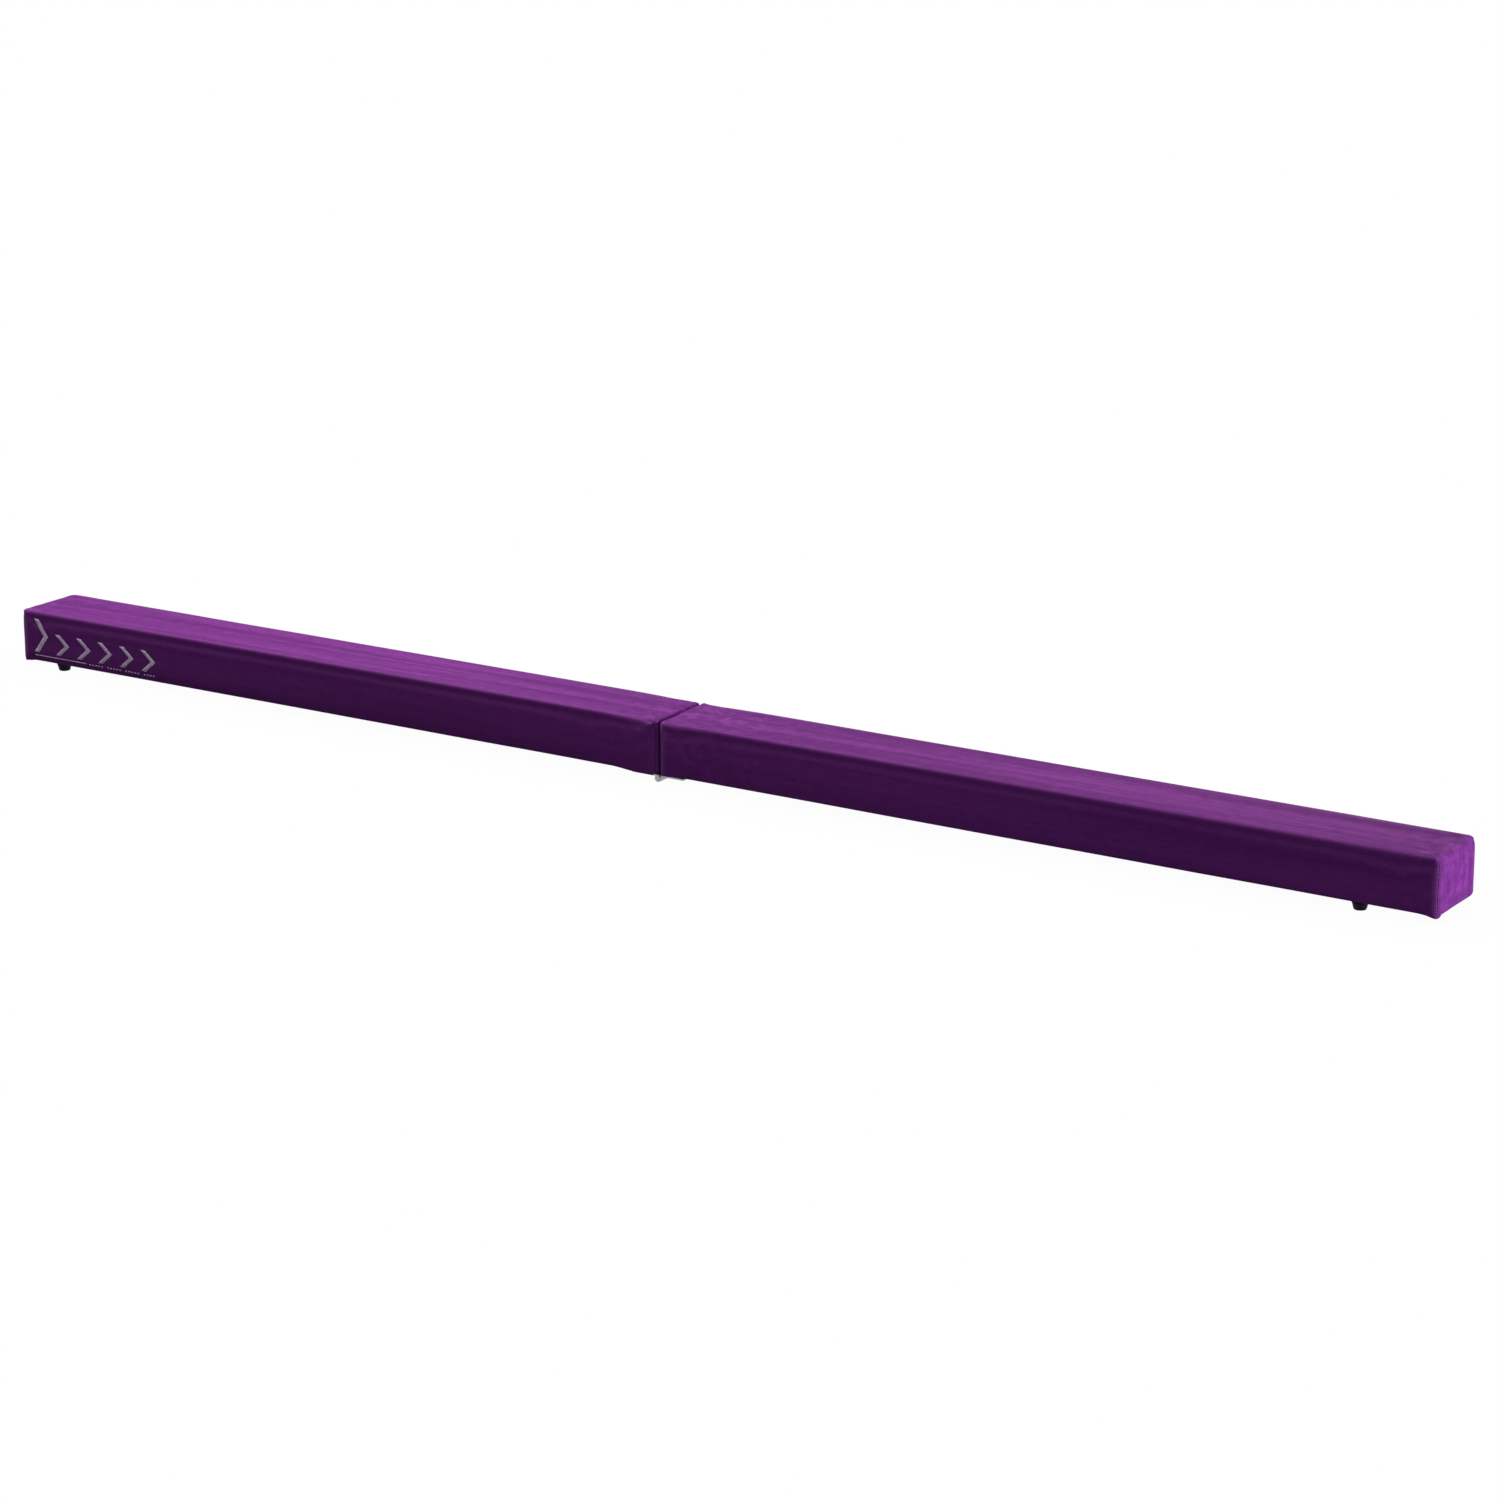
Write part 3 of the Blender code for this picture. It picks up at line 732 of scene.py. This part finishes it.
def edge_shift(p, n, half):
    """How the suede's rounded edges and its top corners differ from the form's."""
    from_joint, from_end, _, edge, drop = distances(p)
    side = SIDE[half]
    row = 1 if p.y > 0 else -1
    rear = limited(0.5 + p.y / REAR_SPREAD)
    up = max(0.0, n.z)
    upright_edge = 2 * abs(n.x) * abs(n.y)
    long_edge = 2 * abs(n.y) * up * (1 - fading(from_joint, EDGE_FILL_START))
    fill = EDGE_FILL[half] * long_edge
    shift = Vector((0, row * fill, fill))
    if from_joint < 2 * TOP_ROUND:
        fill = NOTCH_FILL * 2 * abs(n.x) * up * rear
        shift += Vector((-side * fill, 0, fill))
        shift -= Vector((-side, row, 0)) * JOINT_EASE * upright_edge * (1 - rear) * DIAGONAL
    elif from_end < 2 * TOP_ROUND:
        shift -= Vector((side, row, 0)) * END_EASE * upright_edge * DIAGONAL
    to_corner = math.sqrt(max(from_end, 0) ** 2 + edge ** 2 + drop ** 2)
    inwards = Vector((side * 0.6, row * 0.6, 1))
    return shift - inwards * CORNER_PULL_IN[row] * fading(to_corner, CORNER_REACH)


def hang(p, half):
    """How far the suede hangs down: beside the hinge, at the outer corners and at the joint."""
    from_joint, from_end, _, _, drop = distances(p)
    above = p.z - UNDERSIDE
    beside_leaf = limited((abs(p.y) - LEAF_EDGE) / LIP_SPREAD)
    near_hinge = fading(from_joint - LIP_LENGTH[half], LIP_REACH[half])
    lower = LIP_DROP[half] * beside_leaf * fading(above, LIP_HEIGHT) * near_hinge
    knot = limited((abs(p.y) - KNOT_EDGE) / KNOT_SPREAD) * fading(above, KNOT_HEIGHT)
    knot *= fading(from_end - KNOT_SPREAD, CORNER_REACH)
    if p.y > 0:
        lower -= REAR_CORNER_RISE * knot
    else:
        lumps = noise.noise(Vector((p.x * 160, p.y * 160, SIDE[half])))
        lower += KNOT_DROP * knot * (1 + 0.35 * lumps)
    sag = JOINT_SAG * (1 - 0.8 * limited(0.5 + p.y / REAR_SPREAD))
    return lower + sag * fading(from_joint, JOINT_SAG_REACH) * (1 - min(1.0, drop / JOINT_SAG_DEPTH))


def drape(mesh, half):
    """Lays the suede on its form, with the waves, creases and loose edges of sewn and stapled cloth."""
    side = SIDE[half]
    places = [(v.co.copy(), v.normal.copy()) for v in mesh.vertices]
    for vert, (p, n) in zip(mesh.vertices, places):
        vert.co = p + n * stand_off(p, n, half) + edge_shift(p, n, half) - Vector((0, 0, hang(p, half)))
        if side * vert.co.x < CLEARANCE:
            vert.co.x = side * CLEARANCE


SUEDE_MARKS = ("end_face", "top_face", "rim", "handled")
RUBBED_BY_JOINT = {"left": (0.55, 0.07), "right": (1.0, 0.16)}  # how much, and how far along
RUBBED_BY_END = (0.8, 0.05)
FACING = 0.45  # how far round a normal starts to count
FACING_SPREAD = 0.3


def mark_suede(mesh, half):
    """Says which suede is on the end, on the top or on an edge, where the painted highlight goes, and
    where hands have rubbed it.
    """
    for name in SUEDE_MARKS:
        mesh.attributes.new(name, "FLOAT", "POINT")
    joint_much, joint_far = RUBBED_BY_JOINT[half]
    end_much, end_far = RUBBED_BY_END
    for vert in mesh.vertices:
        x = abs(vert.co.x)
        along, across, up = abs(vert.normal.x), abs(vert.normal.y), max(0.0, vert.normal.z)
        values = (
            limited((along - FACING) / FACING_SPREAD),
            limited((up - FACING) / FACING_SPREAD),
            # the rim: the rounded edges, which get the painted highlight
            limited(2 * across * up + 1.3 * across * along),
            max(joint_much * fading(x, joint_far), end_much * fading(OUTER_END - x, end_far)),
        )
        for name, value in zip(SUEDE_MARKS, values):
            mesh.attributes[name].data[vert.index].value = value


def open_underneath(mesh, half):
    """Takes away the suede between the turned-under edges, where the lining cloth goes."""
    low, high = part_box(half + "_underside_cloth")
    bm = bmesh.new()
    bm.from_mesh(mesh)

    def in_opening(face):
        centre = face.calc_center_median()
        within = low.x + CLOTH_LAP < centre.x < high.x - CLOTH_LAP and abs(centre.y) < FLANGE_IN
        return within and centre.z < UNDERSIDE + 1 * MM

    bmesh.ops.delete(bm, geom=[face for face in bm.faces if in_opening(face)], context="FACES")
    bm.to_mesh(mesh)
    bm.free()


def make_cover(half):
    form = cover_form(half)
    obj = piece(half + "_cover", mesh_of(half + "_cover_form", form), half, "suede")
    obj.parent = None
    swell(obj)
    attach(obj, half + "_half")
    mesh = subdivided(obj)
    drape(mesh, half)
    mark_suede(mesh, half)
    surface = BVHTree.FromPolygons([v.co for v in mesh.vertices], [p.vertices for p in mesh.polygons])
    open_underneath(mesh, half)
    mesh.shade_smooth()
    obj.data = mesh
    add_wall(obj, SUEDE_THICKNESS, -1, even=True)
    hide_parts(half + "_suede_cover")
    return surface


# Seams, tucks, staples, lining and print ------------------------------------

WELT = 0.75 * MM
WELT_SINK = 0.4 * MM
WELT_STEP = 1.5 * MM
SEAM_LOW = UNDERSIDE + 3 * MM
SEAM_HIGH = TOP - 8 * MM
STITCH_LENGTH = 2.4 * MM
STITCH_PITCH = 3.6 * MM
STITCH_ASIDE = 2.2 * MM  # from the seam
THREAD = 0.45 * MM
RAY_START = 40 * MM
EDGE_INSET = 12 * MM


def on_surface(surface, start, towards):
    """The point and normal where a line from start, in a direction, first meets the suede."""
    point, normal, _, _ = surface.ray_cast(start, towards.normalized())
    return point, normal


def corner_line(surface, side, x_end, corner):
    """Points and normals down one upright corner of a cover, on its rounded edge."""
    outwards = Vector((side if x_end > 0.5 else -side, corner, 0)).normalized()
    middle = Vector((side * x_end, corner * HALF_WIDTH, 0)) - outwards * EDGE_INSET
    found = []
    height = SEAM_HIGH - SEAM_LOW
    count = int(height / WELT_STEP)
    for number in range(count + 1):
        centre = Vector((middle.x, middle.y, SEAM_HIGH - height * number / count))
        point, normal = on_surface(surface, centre + outwards * RAY_START, -outwards)
        if point is not None:
            found.append((point, normal))
    return found


def add_capsule(bm, at, along, out, length, radius):
    """One stitch: a short bead of thread that lies along a line, sunk a little."""
    bead = bmesh.new()
    bmesh.ops.create_uvsphere(bead, u_segments=8, v_segments=6, radius=1.0)
    along = along.normalized()
    sideways = along.cross(out).normalized()
    turn = Matrix((sideways, sideways.cross(along), along)).transposed().to_4x4()
    size = Matrix.Diagonal((radius, radius, length / 2, 1))
    bead.transform(Matrix.Translation(at) @ turn @ size)
    joined(bm, bead)


def tube(points, radius, resolution=3):
    """A bmesh tube through points, with closed ends."""
    curve = bpy.data.curves.new("tube", "CURVE")
    curve.dimensions = "3D"
    curve.bevel_depth = radius
    curve.bevel_resolution = resolution
    curve.use_fill_caps = True
    spline = curve.splines.new("POLY")
    spline.points.add(len(points) - 1)
    for target, point in zip(spline.points, points):
        target.co = (*point, 1)
    guide = new_object("tube", curve)
    mesh = evaluated_mesh(guide)
    bpy.data.objects.remove(guide, do_unlink=True)
    bm = bmesh.new()
    bm.from_mesh(mesh)
    bpy.data.meshes.remove(mesh)
    bmesh.ops.remove_doubles(bm, verts=bm.verts, dist=SAME_PLACE)
    bmesh.ops.recalc_face_normals(bm, faces=bm.faces)
    return bm


def make_seams(half, surface):
    """The upright seam at each corner of a cover, and the stitches beside the outer ones."""
    side = SIDE[half]
    welts = bmesh.new()
    stitches = bmesh.new()
    for x_end in (INNER_END, OUTER_END):
        for corner in (-1, 1):
            line = corner_line(surface, side, x_end, corner)
            joined(welts, tube([point - normal * WELT_SINK for point, normal in line], WELT))
            if x_end == INNER_END:
                continue
            count = int((line[0][0].z - line[-1][0].z) / STITCH_PITCH)
            for number in range(count):
                place = (number + 0.5) / count * (len(line) - 1)
                point, normal = line[int(place)]
                aside = point + Vector((-math.copysign(1, normal.x), 0, 0)) * STITCH_ASIDE
                hit, facing = on_surface(surface, aside + normal * 5 * MM, -normal)
                if hit is not None:
                    add_capsule(stitches, hit, Vector((0, 0, -1)), facing, STITCH_LENGTH, THREAD)
    piece(half + "_corner_seams", mesh_of("seams", welts), half, "suede")
    piece(half + "_corner_stitches", mesh_of("stitches", stitches), half, "suede", "thread")


TUCK_LAYERS = ((34 * MM, 24 * MM), (23 * MM, 17 * MM))  # length and width
TUCK_THICKNESS = 1.4 * MM
TUCK_ROUND = 0.6 * MM
TUCK_GRID = (12, 8)
TUCK_SLANT = 0.55
TUCK_LUMPS = 120
TUCK_FROM_END = 6.5 * MM
TUCK_FROM_SIDE = 9.5 * MM
TUCK_DROP = 0.2 * MM
TUCK_STEP = 1.1 * MM


def make_tucks(half):
    """The suede folded over itself under the outer corners."""
    side = SIDE[half]
    tucks = bmesh.new()
    for corner in (-1, 1):
        for layer, (length, width) in enumerate(TUCK_LAYERS):
            fold = block(length, width, TUCK_THICKNESS)
            rounded(fold, fold.edges[:], TUCK_ROUND, 2)
            cut_across(fold, 0, evenly(-length / 2, length / 2, TUCK_GRID[0]))
            cut_across(fold, 1, evenly(-width / 2, width / 2, TUCK_GRID[1]))
            for vert in fold.verts:
                inward = 0.5 - vert.co.x * side / length
                slant = inward * max(0.0, 0.5 - vert.co.y * corner / width)
                vert.co.y += corner * width * TUCK_SLANT * slant
                bow = noise.noise(vert.co * TUCK_LUMPS + Vector((corner, layer, side)))
                vert.co += Vector((0.9 * bow, 0.9 * bow, 0.35 * bow - 0.5 * (1 - inward))) * MM
            at = Vector((
                side * (OUTER_END - TUCK_FROM_END - length / 2),
                corner * (HALF_WIDTH - TUCK_FROM_SIDE - width / 2),
                UNDERSIDE - TUCK_DROP - TUCK_STEP * layer,
            ))
            bmesh.ops.translate(fold, vec=at, verts=fold.verts)
            joined(tucks, fold)
    obj = piece(half + "_corner_tucks", mesh_of("tucks", tucks), half, "suede")
    softer = obj.modifiers.new("softened", "SUBSURF")
    softer.levels = 1
    softer.render_levels = 1


STAPLE_CROWN = 10 * MM
STAPLE_WIDTH = 1.2 * MM
STAPLE_WIRE = 0.6 * MM
STAPLE_ROUND = 0.2 * MM
STAPLE_PITCH = 38 * MM
STAPLE_INSET = 1.8 * MM  # from the lining cloth's edges
STAPLE_START = 15 * MM  # from its ends
STAPLES_ACROSS = (-14 * MM, 0, 14 * MM)
STAPLE_SKEW = 7
STAPLE_WANDER = 0.7 * MM


def staple_places(low, high):
    """Each staple's X and Y, and whether it is turned to lie along a short edge."""
    rows = high.y - STAPLE_INSET
    run = high.x - low.x - 2 * STAPLE_START
    count = round(run / STAPLE_PITCH)
    places = []
    for number in range(count + 1):
        x = low.x + STAPLE_START + run * number / count
        places += [(x, -rows, False), (x, rows, False)]
    for y in STAPLES_ACROSS:
        places += [(low.x + STAPLE_INSET, y, True), (high.x - STAPLE_INSET, y, True)]
    return places


def make_staples(half):
    """Flat wire staples along the lining cloth's edges, through it and the turned-under suede."""
    low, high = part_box(half + "_underside_cloth")
    staples = bmesh.new()
    for number, (x, y, turned) in enumerate(staple_places(low, high)):
        staple = block(STAPLE_CROWN, STAPLE_WIDTH, STAPLE_WIRE)
        upright = [edge for edge in staple.edges if abs(edge.verts[0].co.z - edge.verts[1].co.z) < 1e-6]
        rounded(staple, upright, STAPLE_ROUND, 2)
        skew = math.radians(STAPLE_SKEW * math.sin(number * 2.4))
        turn = Matrix.Rotation(skew + (math.pi / 2 if turned else 0), 4, "Z")
        wander = STAPLE_WANDER * math.sin(number * 1.7)
        at = Matrix.Translation((x, y + (0 if turned else wander), low.z - STAPLE_WIRE / 2))
        staple.transform(at @ turn)
        joined(staples, staple)
    piece(half + "_staples", mesh_of("staples", staples, 40), half, "zinc_steel")


LINING_THICKNESS = 0.35 * MM
LINING_SINK = 0.25 * MM
LINING_GRID = (220, 14)
LINING_TAUT = 12 * MM  # the cloth is held flat near its ends
SLACK = 0.5
PUCKER = 0.3
SCALLOP = 0.08 * MM


def make_lining_cloth(half):
    """The thin cloth under each half, held by its staples and slack between them."""
    low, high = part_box(half + "_underside_cloth")
    length = high.x - low.x
    width = high.y - low.y
    bm = bmesh.new()
    bmesh.ops.create_grid(bm, x_segments=LINING_GRID[0], y_segments=LINING_GRID[1], size=0.5)
    bmesh.ops.scale(bm, vec=(length, width, 1), verts=bm.verts)
    bmesh.ops.translate(bm, vec=((low.x + high.x) / 2, 0, high.z - LINING_SINK), verts=bm.verts)
    for vert in bm.verts:
        inside = max(0.0, 1 - (abs(vert.co.y) / FLANGE_IN) ** 2)
        ends = min(vert.co.x - low.x, high.x - vert.co.x) / LINING_TAUT
        slack = min(1.0, ends) * inside
        pucker = noise.noise(Vector((vert.co.x * 26, vert.co.y * 60, SIDE[half])))
        scallop = math.cos((vert.co.x - low.x) * math.tau / STAPLE_PITCH)
        vert.co.z -= slack * (SLACK + PUCKER * pucker) * MM
        vert.co.z -= SCALLOP * scallop * max(0.0, 1 - inside * 1.6)
    bmesh.ops.recalc_face_normals(bm, faces=bm.faces)
    obj = piece(half + "_lining_cloth", mesh_of("lining", bm), half, "lining_cloth")
    add_wall(obj, LINING_THICKNESS, 0)
    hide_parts(half + "_underside_cloth")


PRINT_START = 25 * MM  # from the free end
PRINT_BASE = 13.5 * MM  # above the underside
CHEVRONS = 6
CHEVRON_PITCH = 38 * MM
CHEVRON_HEIGHT = 29 * MM
FIRST_CHEVRON_HEIGHT = 46.5 * MM
CHEVRON_STROKE = 8 * MM
CHEVRON_POINT = 17 * MM
RULE_LENGTH = 92 * MM
RULE_HEIGHT = 1.4 * MM
RULE_DROP = 5 * MM  # below the chevrons
DASHES = 22
DASH_SHARE = 0.5  # of a dash's pitch
DASH_HEIGHT = 1.9 * MM
DASH_DROP = 5.9 * MM
DASH_GROUP = 6  # the last dash of each group is left out
INK_THICKNESS = 0.12 * MM
INK_LIFT = 0.13 * MM
INK_GRID = 3 * MM


def flat_shape(points):
    """A flat outline in X and Z, filled and cut into small faces so that it can follow the suede."""
    bm = bmesh.new()
    bm.faces.new([bm.verts.new((x, 0, z)) for x, z in points])
    for axis, values in ((0, [x for x, _ in points]), (2, [z for _, z in points])):
        low, high = min(values), max(values)
        cut_across(bm, axis, evenly(low, high, max(2, int((high - low) / INK_GRID))))
    return bm


def bar(x, z, length, height):
    return ((x, z), (x + length, z), (x + length, z + height), (x, z + height))


def print_shapes():
    """Outlines in X and Z: a tall chevron and five shorter ones, over a thin rule and small dashes."""
    start = -OUTER_END + PRINT_START
    base = UNDERSIDE + PRINT_BASE
    shapes = []
    for number in range(CHEVRONS):
        x = start + number * CHEVRON_PITCH
        height = CHEVRON_HEIGHT if number else FIRST_CHEVRON_HEIGHT
        middle = base + height / 2
        shapes.append((
            (x, base), (x + CHEVRON_STROKE, base), (x + CHEVRON_STROKE + CHEVRON_POINT, middle),
            (x + CHEVRON_STROKE, base + height), (x, base + height), (x + CHEVRON_POINT, middle),
        ))
    shapes.append(bar(start, base - RULE_DROP, RULE_LENGTH, RULE_HEIGHT))
    dashes_start = start + RULE_LENGTH + RULE_DROP
    dashes_end = start + (CHEVRONS - 1) * CHEVRON_PITCH + CHEVRON_STROKE + CHEVRON_POINT
    pitch = (dashes_end - dashes_start) / DASHES
    for number in range(DASHES):
        if number % DASH_GROUP < DASH_GROUP - 1:
            x = dashes_start + number * pitch
            shapes.append(bar(x, base - DASH_DROP, pitch * DASH_SHARE, DASH_HEIGHT))
    return shapes


def make_print(surface):
    """A plain sports print on the left half's front, lying on the suede."""
    ink = bmesh.new()
    for points in print_shapes():
        joined(ink, flat_shape(points))
    for vert in ink.verts:
        point, _ = on_surface(surface, Vector((vert.co.x, -2 * HALF_WIDTH, vert.co.z)), Vector((0, 1, 0)))
        vert.co = point + Vector((0, -INK_LIFT, 0))
    bmesh.ops.recalc_face_normals(ink, faces=ink.faces)
    obj = piece("left_print", mesh_of("print", ink), "left", "suede", "ink")
    add_wall(obj, INK_THICKNESS, 0)


# Feet and hardware ----------------------------------------------------------

FOOT_BORE = 2.3 * MM  # radius
FOOT_SOLE = 0.75  # of the foot's own radius
POCKET_GAP = 0.3 * MM
FOOT_STEPS = 56


def make_foot(half, row):
    """A moulded rubber bumper foot, turned, with a rim, a parting line and a screw pocket."""
    node = f"{half}_{row}_foot"
    low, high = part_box(node)
    centre = (low + high) / 2
    radius = (high.x - low.x) / 2
    height = high.z - low.z
    washer_low, washer_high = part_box(node + "_washer")
    pocket = (washer_high.x - washer_low.x) / 2 + POCKET_GAP
    seat = washer_high.z + POCKET_GAP
    sole = radius * FOOT_SOLE
    outline = [
        (FOOT_BORE, high.z),
        (radius - 0.5 * MM, high.z),
        (radius - 0.1 * MM, high.z - 0.25 * MM),
        (radius, high.z - 0.8 * MM),
        (radius - 0.15 * MM, high.z - 1.6 * MM),
        (radius - 0.55 * MM, high.z - 2.1 * MM),
        (sole + 0.35 * MM, low.z + 0.16 * height),
        (sole + 0.05 * MM, low.z + 0.6 * MM),
        (sole - 0.35 * MM, low.z + 0.12 * MM),
        (sole - 0.9 * MM, low.z),
        (pocket + 0.5 * MM, low.z),
        (pocket + 0.1 * MM, low.z + 0.15 * MM),
        (pocket, low.z + 0.6 * MM),
        (pocket, seat),
        (FOOT_BORE, seat),
    ]
    bm = bmesh.new()
    verts = [bm.verts.new((centre.x + r, centre.y, z)) for r, z in outline]
    edges = [bm.edges.new(pair) for pair in zip(verts, verts[1:] + verts[:1])]
    bmesh.ops.spin(
        bm, geom=verts + edges, cent=(centre.x, centre.y, 0), axis=(0, 0, 1),
        angle=math.tau, steps=FOOT_STEPS, use_merge=True, use_duplicate=False,
    )
    bmesh.ops.remove_doubles(bm, verts=bm.verts, dist=SAME_PLACE)
    bmesh.ops.recalc_face_normals(bm, faces=bm.faces)
    obj = piece(node + "_bumper", mesh_of(node, bm, 50), half, "foot_rubber")
    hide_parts(node)


FLAT_ANGLE = math.radians(2)  # faces that meet flatter than this are one
STEEL_SMOOTH_ANGLE = 32
STEEL_EDGE_ANGLE = math.radians(40)


def crisp(node, half, rounding):
    """A copy of a steel piece with its sharp edges just broken, which stands for the plain one."""
    bm = bmesh.new()
    bm.from_mesh(frame["nodes"][node].data)
    bmesh.ops.remove_doubles(bm, verts=bm.verts, dist=0.000005)
    bmesh.ops.dissolve_limit(bm, angle_limit=FLAT_ANGLE, verts=bm.verts, edges=bm.edges)
    obj = piece(node + "_steel", mesh_of(node, bm, STEEL_SMOOTH_ANGLE), half, "zinc_steel")
    edges = obj.modifiers.new("broken edges", "BEVEL")
    edges.width = rounding
    edges.segments = 2
    edges.limit_method = "ANGLE"
    edges.angle_limit = STEEL_EDGE_ANGLE
    edges.harden_normals = True
    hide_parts(node)


FOAM_SQUEEZE = 1.7 * MM  # keeps the foam inside the suede's rounded corners


def finish_frame_nodes():
    """Gives every CAD node the finish of its own slot, and squeezes the foam as its cover does."""
    slots = {row["node"]: row["material_slot"] for row in frame["record"]["subparts"]}
    for node, obj in frame["nodes"].items():
        obj.data.materials.clear()
        obj.data.materials.append(FINISH[slots[node]])
        if slots[node] == "foam":
            obj.modifiers.new("merged corners", "WELD").merge_threshold = SAME_PLACE
            squeeze = obj.modifiers.new("squeezed", "DISPLACE")
            squeeze.strength = -FOAM_SQUEEZE
            squeeze.mid_level = 0


# Stage, light and camera ----------------------------------------------------

FLOOR_SIZE = 8  # half of its width, in metres
FLOOR_SHADE = 0.03
FLOOR_SHADE_REACH = 0.09
FLOOR_COVERED = 0.3  # this share of open sky gives the full shade


def make_floor():
    """A plain pale floor, as white as the studio, with a faint shade where the beam stands over it."""
    bm = bmesh.new()
    bmesh.ops.create_grid(bm, x_segments=1, y_segments=1, size=FLOOR_SIZE)
    mesh = bpy.data.meshes.new("floor")
    bm.to_mesh(mesh)
    bm.free()
    floor = new_object("floor", mesh)
    material = bpy.data.materials.new("pale_floor")
    material.use_nodes = True
    tree = material.node_tree
    tree.nodes.clear()
    open_above = add(tree, "ShaderNodeAmbientOcclusion", {"Distance": FLOOR_SHADE_REACH}).outputs["AO"]
    pale = spread(tree, open_above, FLOOR_COVERED, 1.0, 1 - FLOOR_SHADE, 1.0)
    clear = add(tree, "ShaderNodeBsdfTransparent", {"Color": grey(tree, pale)})
    out = add(tree, "ShaderNodeOutputMaterial")
    tree.links.new(clear.outputs[0], out.inputs["Surface"])
    mesh.materials.append(material)
    floor.visible_diffuse = False
    floor.visible_glossy = False
    floor.visible_shadow = False


def make_world(brightness):
    """White to the eye, and a dimmer white as light."""
    world = bpy.data.worlds.new("studio")
    bpy.context.scene.world = world
    world.use_nodes = True
    tree = world.node_tree
    tree.nodes.clear()
    path = add(tree, "ShaderNodeLightPath").outputs
    seen = maths(tree, "MAXIMUM", path["Is Camera Ray"], path["Is Glossy Ray"])
    lit = add(tree, "ShaderNodeBackground", {"Color": (1, 1, 1, 1), "Strength": brightness})
    shown = add(tree, "ShaderNodeBackground", {"Color": (1, 1, 1, 1), "Strength": 1.0})
    either = add(tree, "ShaderNodeMixShader", {0: seen})
    tree.links.new(lit.outputs[0], either.inputs[1])
    tree.links.new(shown.outputs[0], either.inputs[2])
    out = add(tree, "ShaderNodeOutputWorld")
    tree.links.new(either.outputs[0], out.inputs["Surface"])


def area_light(name, at, towards, size, power, colour):
    data = bpy.data.lights.new(name, "AREA")
    data.color = colour
    data.shape = "RECTANGLE"
    data.size, data.size_y = size
    data.energy = power
    obj = new_object(name, data)
    obj.location = at
    obj.rotation_euler = (Vector(towards) - Vector(at)).to_track_quat("-Z", "Y").to_euler()


WORLD_LIGHT = 0.16
LIGHTS = (  # name, place, aim, size, power in watts and colour
    ("overhead", (-0.85, 0.45, 2.3), (-0.2, 0, 0), (3.0, 1.7), 128, (1.0, 1.0, 0.9)),
    ("right_side", (3.4, 0.85, 0.2), (1.0, 0, 0), (1.2, 0.5), 130, (1.0, 1.0, 1.0)),
    ("left_side", (-3.4, 0.1, 0.12), (-1.0, 0, 0), (0.8, 0.3), 22, (1.0, 1.0, 1.0)),
    ("front_fill", (3.4, -3.0, 0.7), (0.9, 0, 0), (1.6, 1.2), 26, (0.9, 0.9, 1.0)),
)


def make_light():
    make_world(WORLD_LIGHT)
    for light in LIGHTS:
        area_light(*light)


CAMERA_AT = (2.769, -4.192, 1.474)
CAMERA_YAW = math.radians(-32.44)
CAMERA_PITCH = math.radians(16.04)
CAMERA_ROLL = math.radians(0.12)
CAMERA_LENS = 99.85
SENSOR = 36.0


def make_camera():
    data = bpy.data.cameras.new("camera")
    data.lens = CAMERA_LENS
    data.sensor_width = SENSOR
    data.clip_start = 0.05
    data.clip_end = 60
    obj = new_object("camera", data)
    turn, tip = CAMERA_YAW, CAMERA_PITCH
    forward = Vector((math.sin(turn) * math.cos(tip), math.cos(turn) * math.cos(tip), -math.sin(tip)))
    level = Vector((math.cos(turn), -math.sin(turn), 0))
    upright = level.cross(forward)
    right = math.cos(CAMERA_ROLL) * level + math.sin(CAMERA_ROLL) * upright
    up = math.cos(CAMERA_ROLL) * upright - math.sin(CAMERA_ROLL) * level
    axes = Matrix((right, up, -forward)).transposed()
    obj.matrix_world = Matrix.Translation(CAMERA_AT) @ axes.to_4x4()
    bpy.context.scene.camera = obj


# The whole beam -------------------------------------------------------------

def make_half(half):
    surface = make_cover(half)
    make_seams(half, surface)
    make_tucks(half)
    make_lining_cloth(half)
    make_staples(half)
    if half == "left":
        make_print(surface)
    for row in ("front", "rear"):
        make_foot(half, row)
    crisp(half + "_hinge_leaf", half, 0.25 * MM)


def main():
    bpy.context.scene.view_settings.view_transform = "Standard"
    finish_frame_nodes()
    make_camera()
    make_light()
    make_floor()
    for half in HALVES:
        make_half(half)
    crisp("hinge_pin", "left", 0.15 * MM)


main()
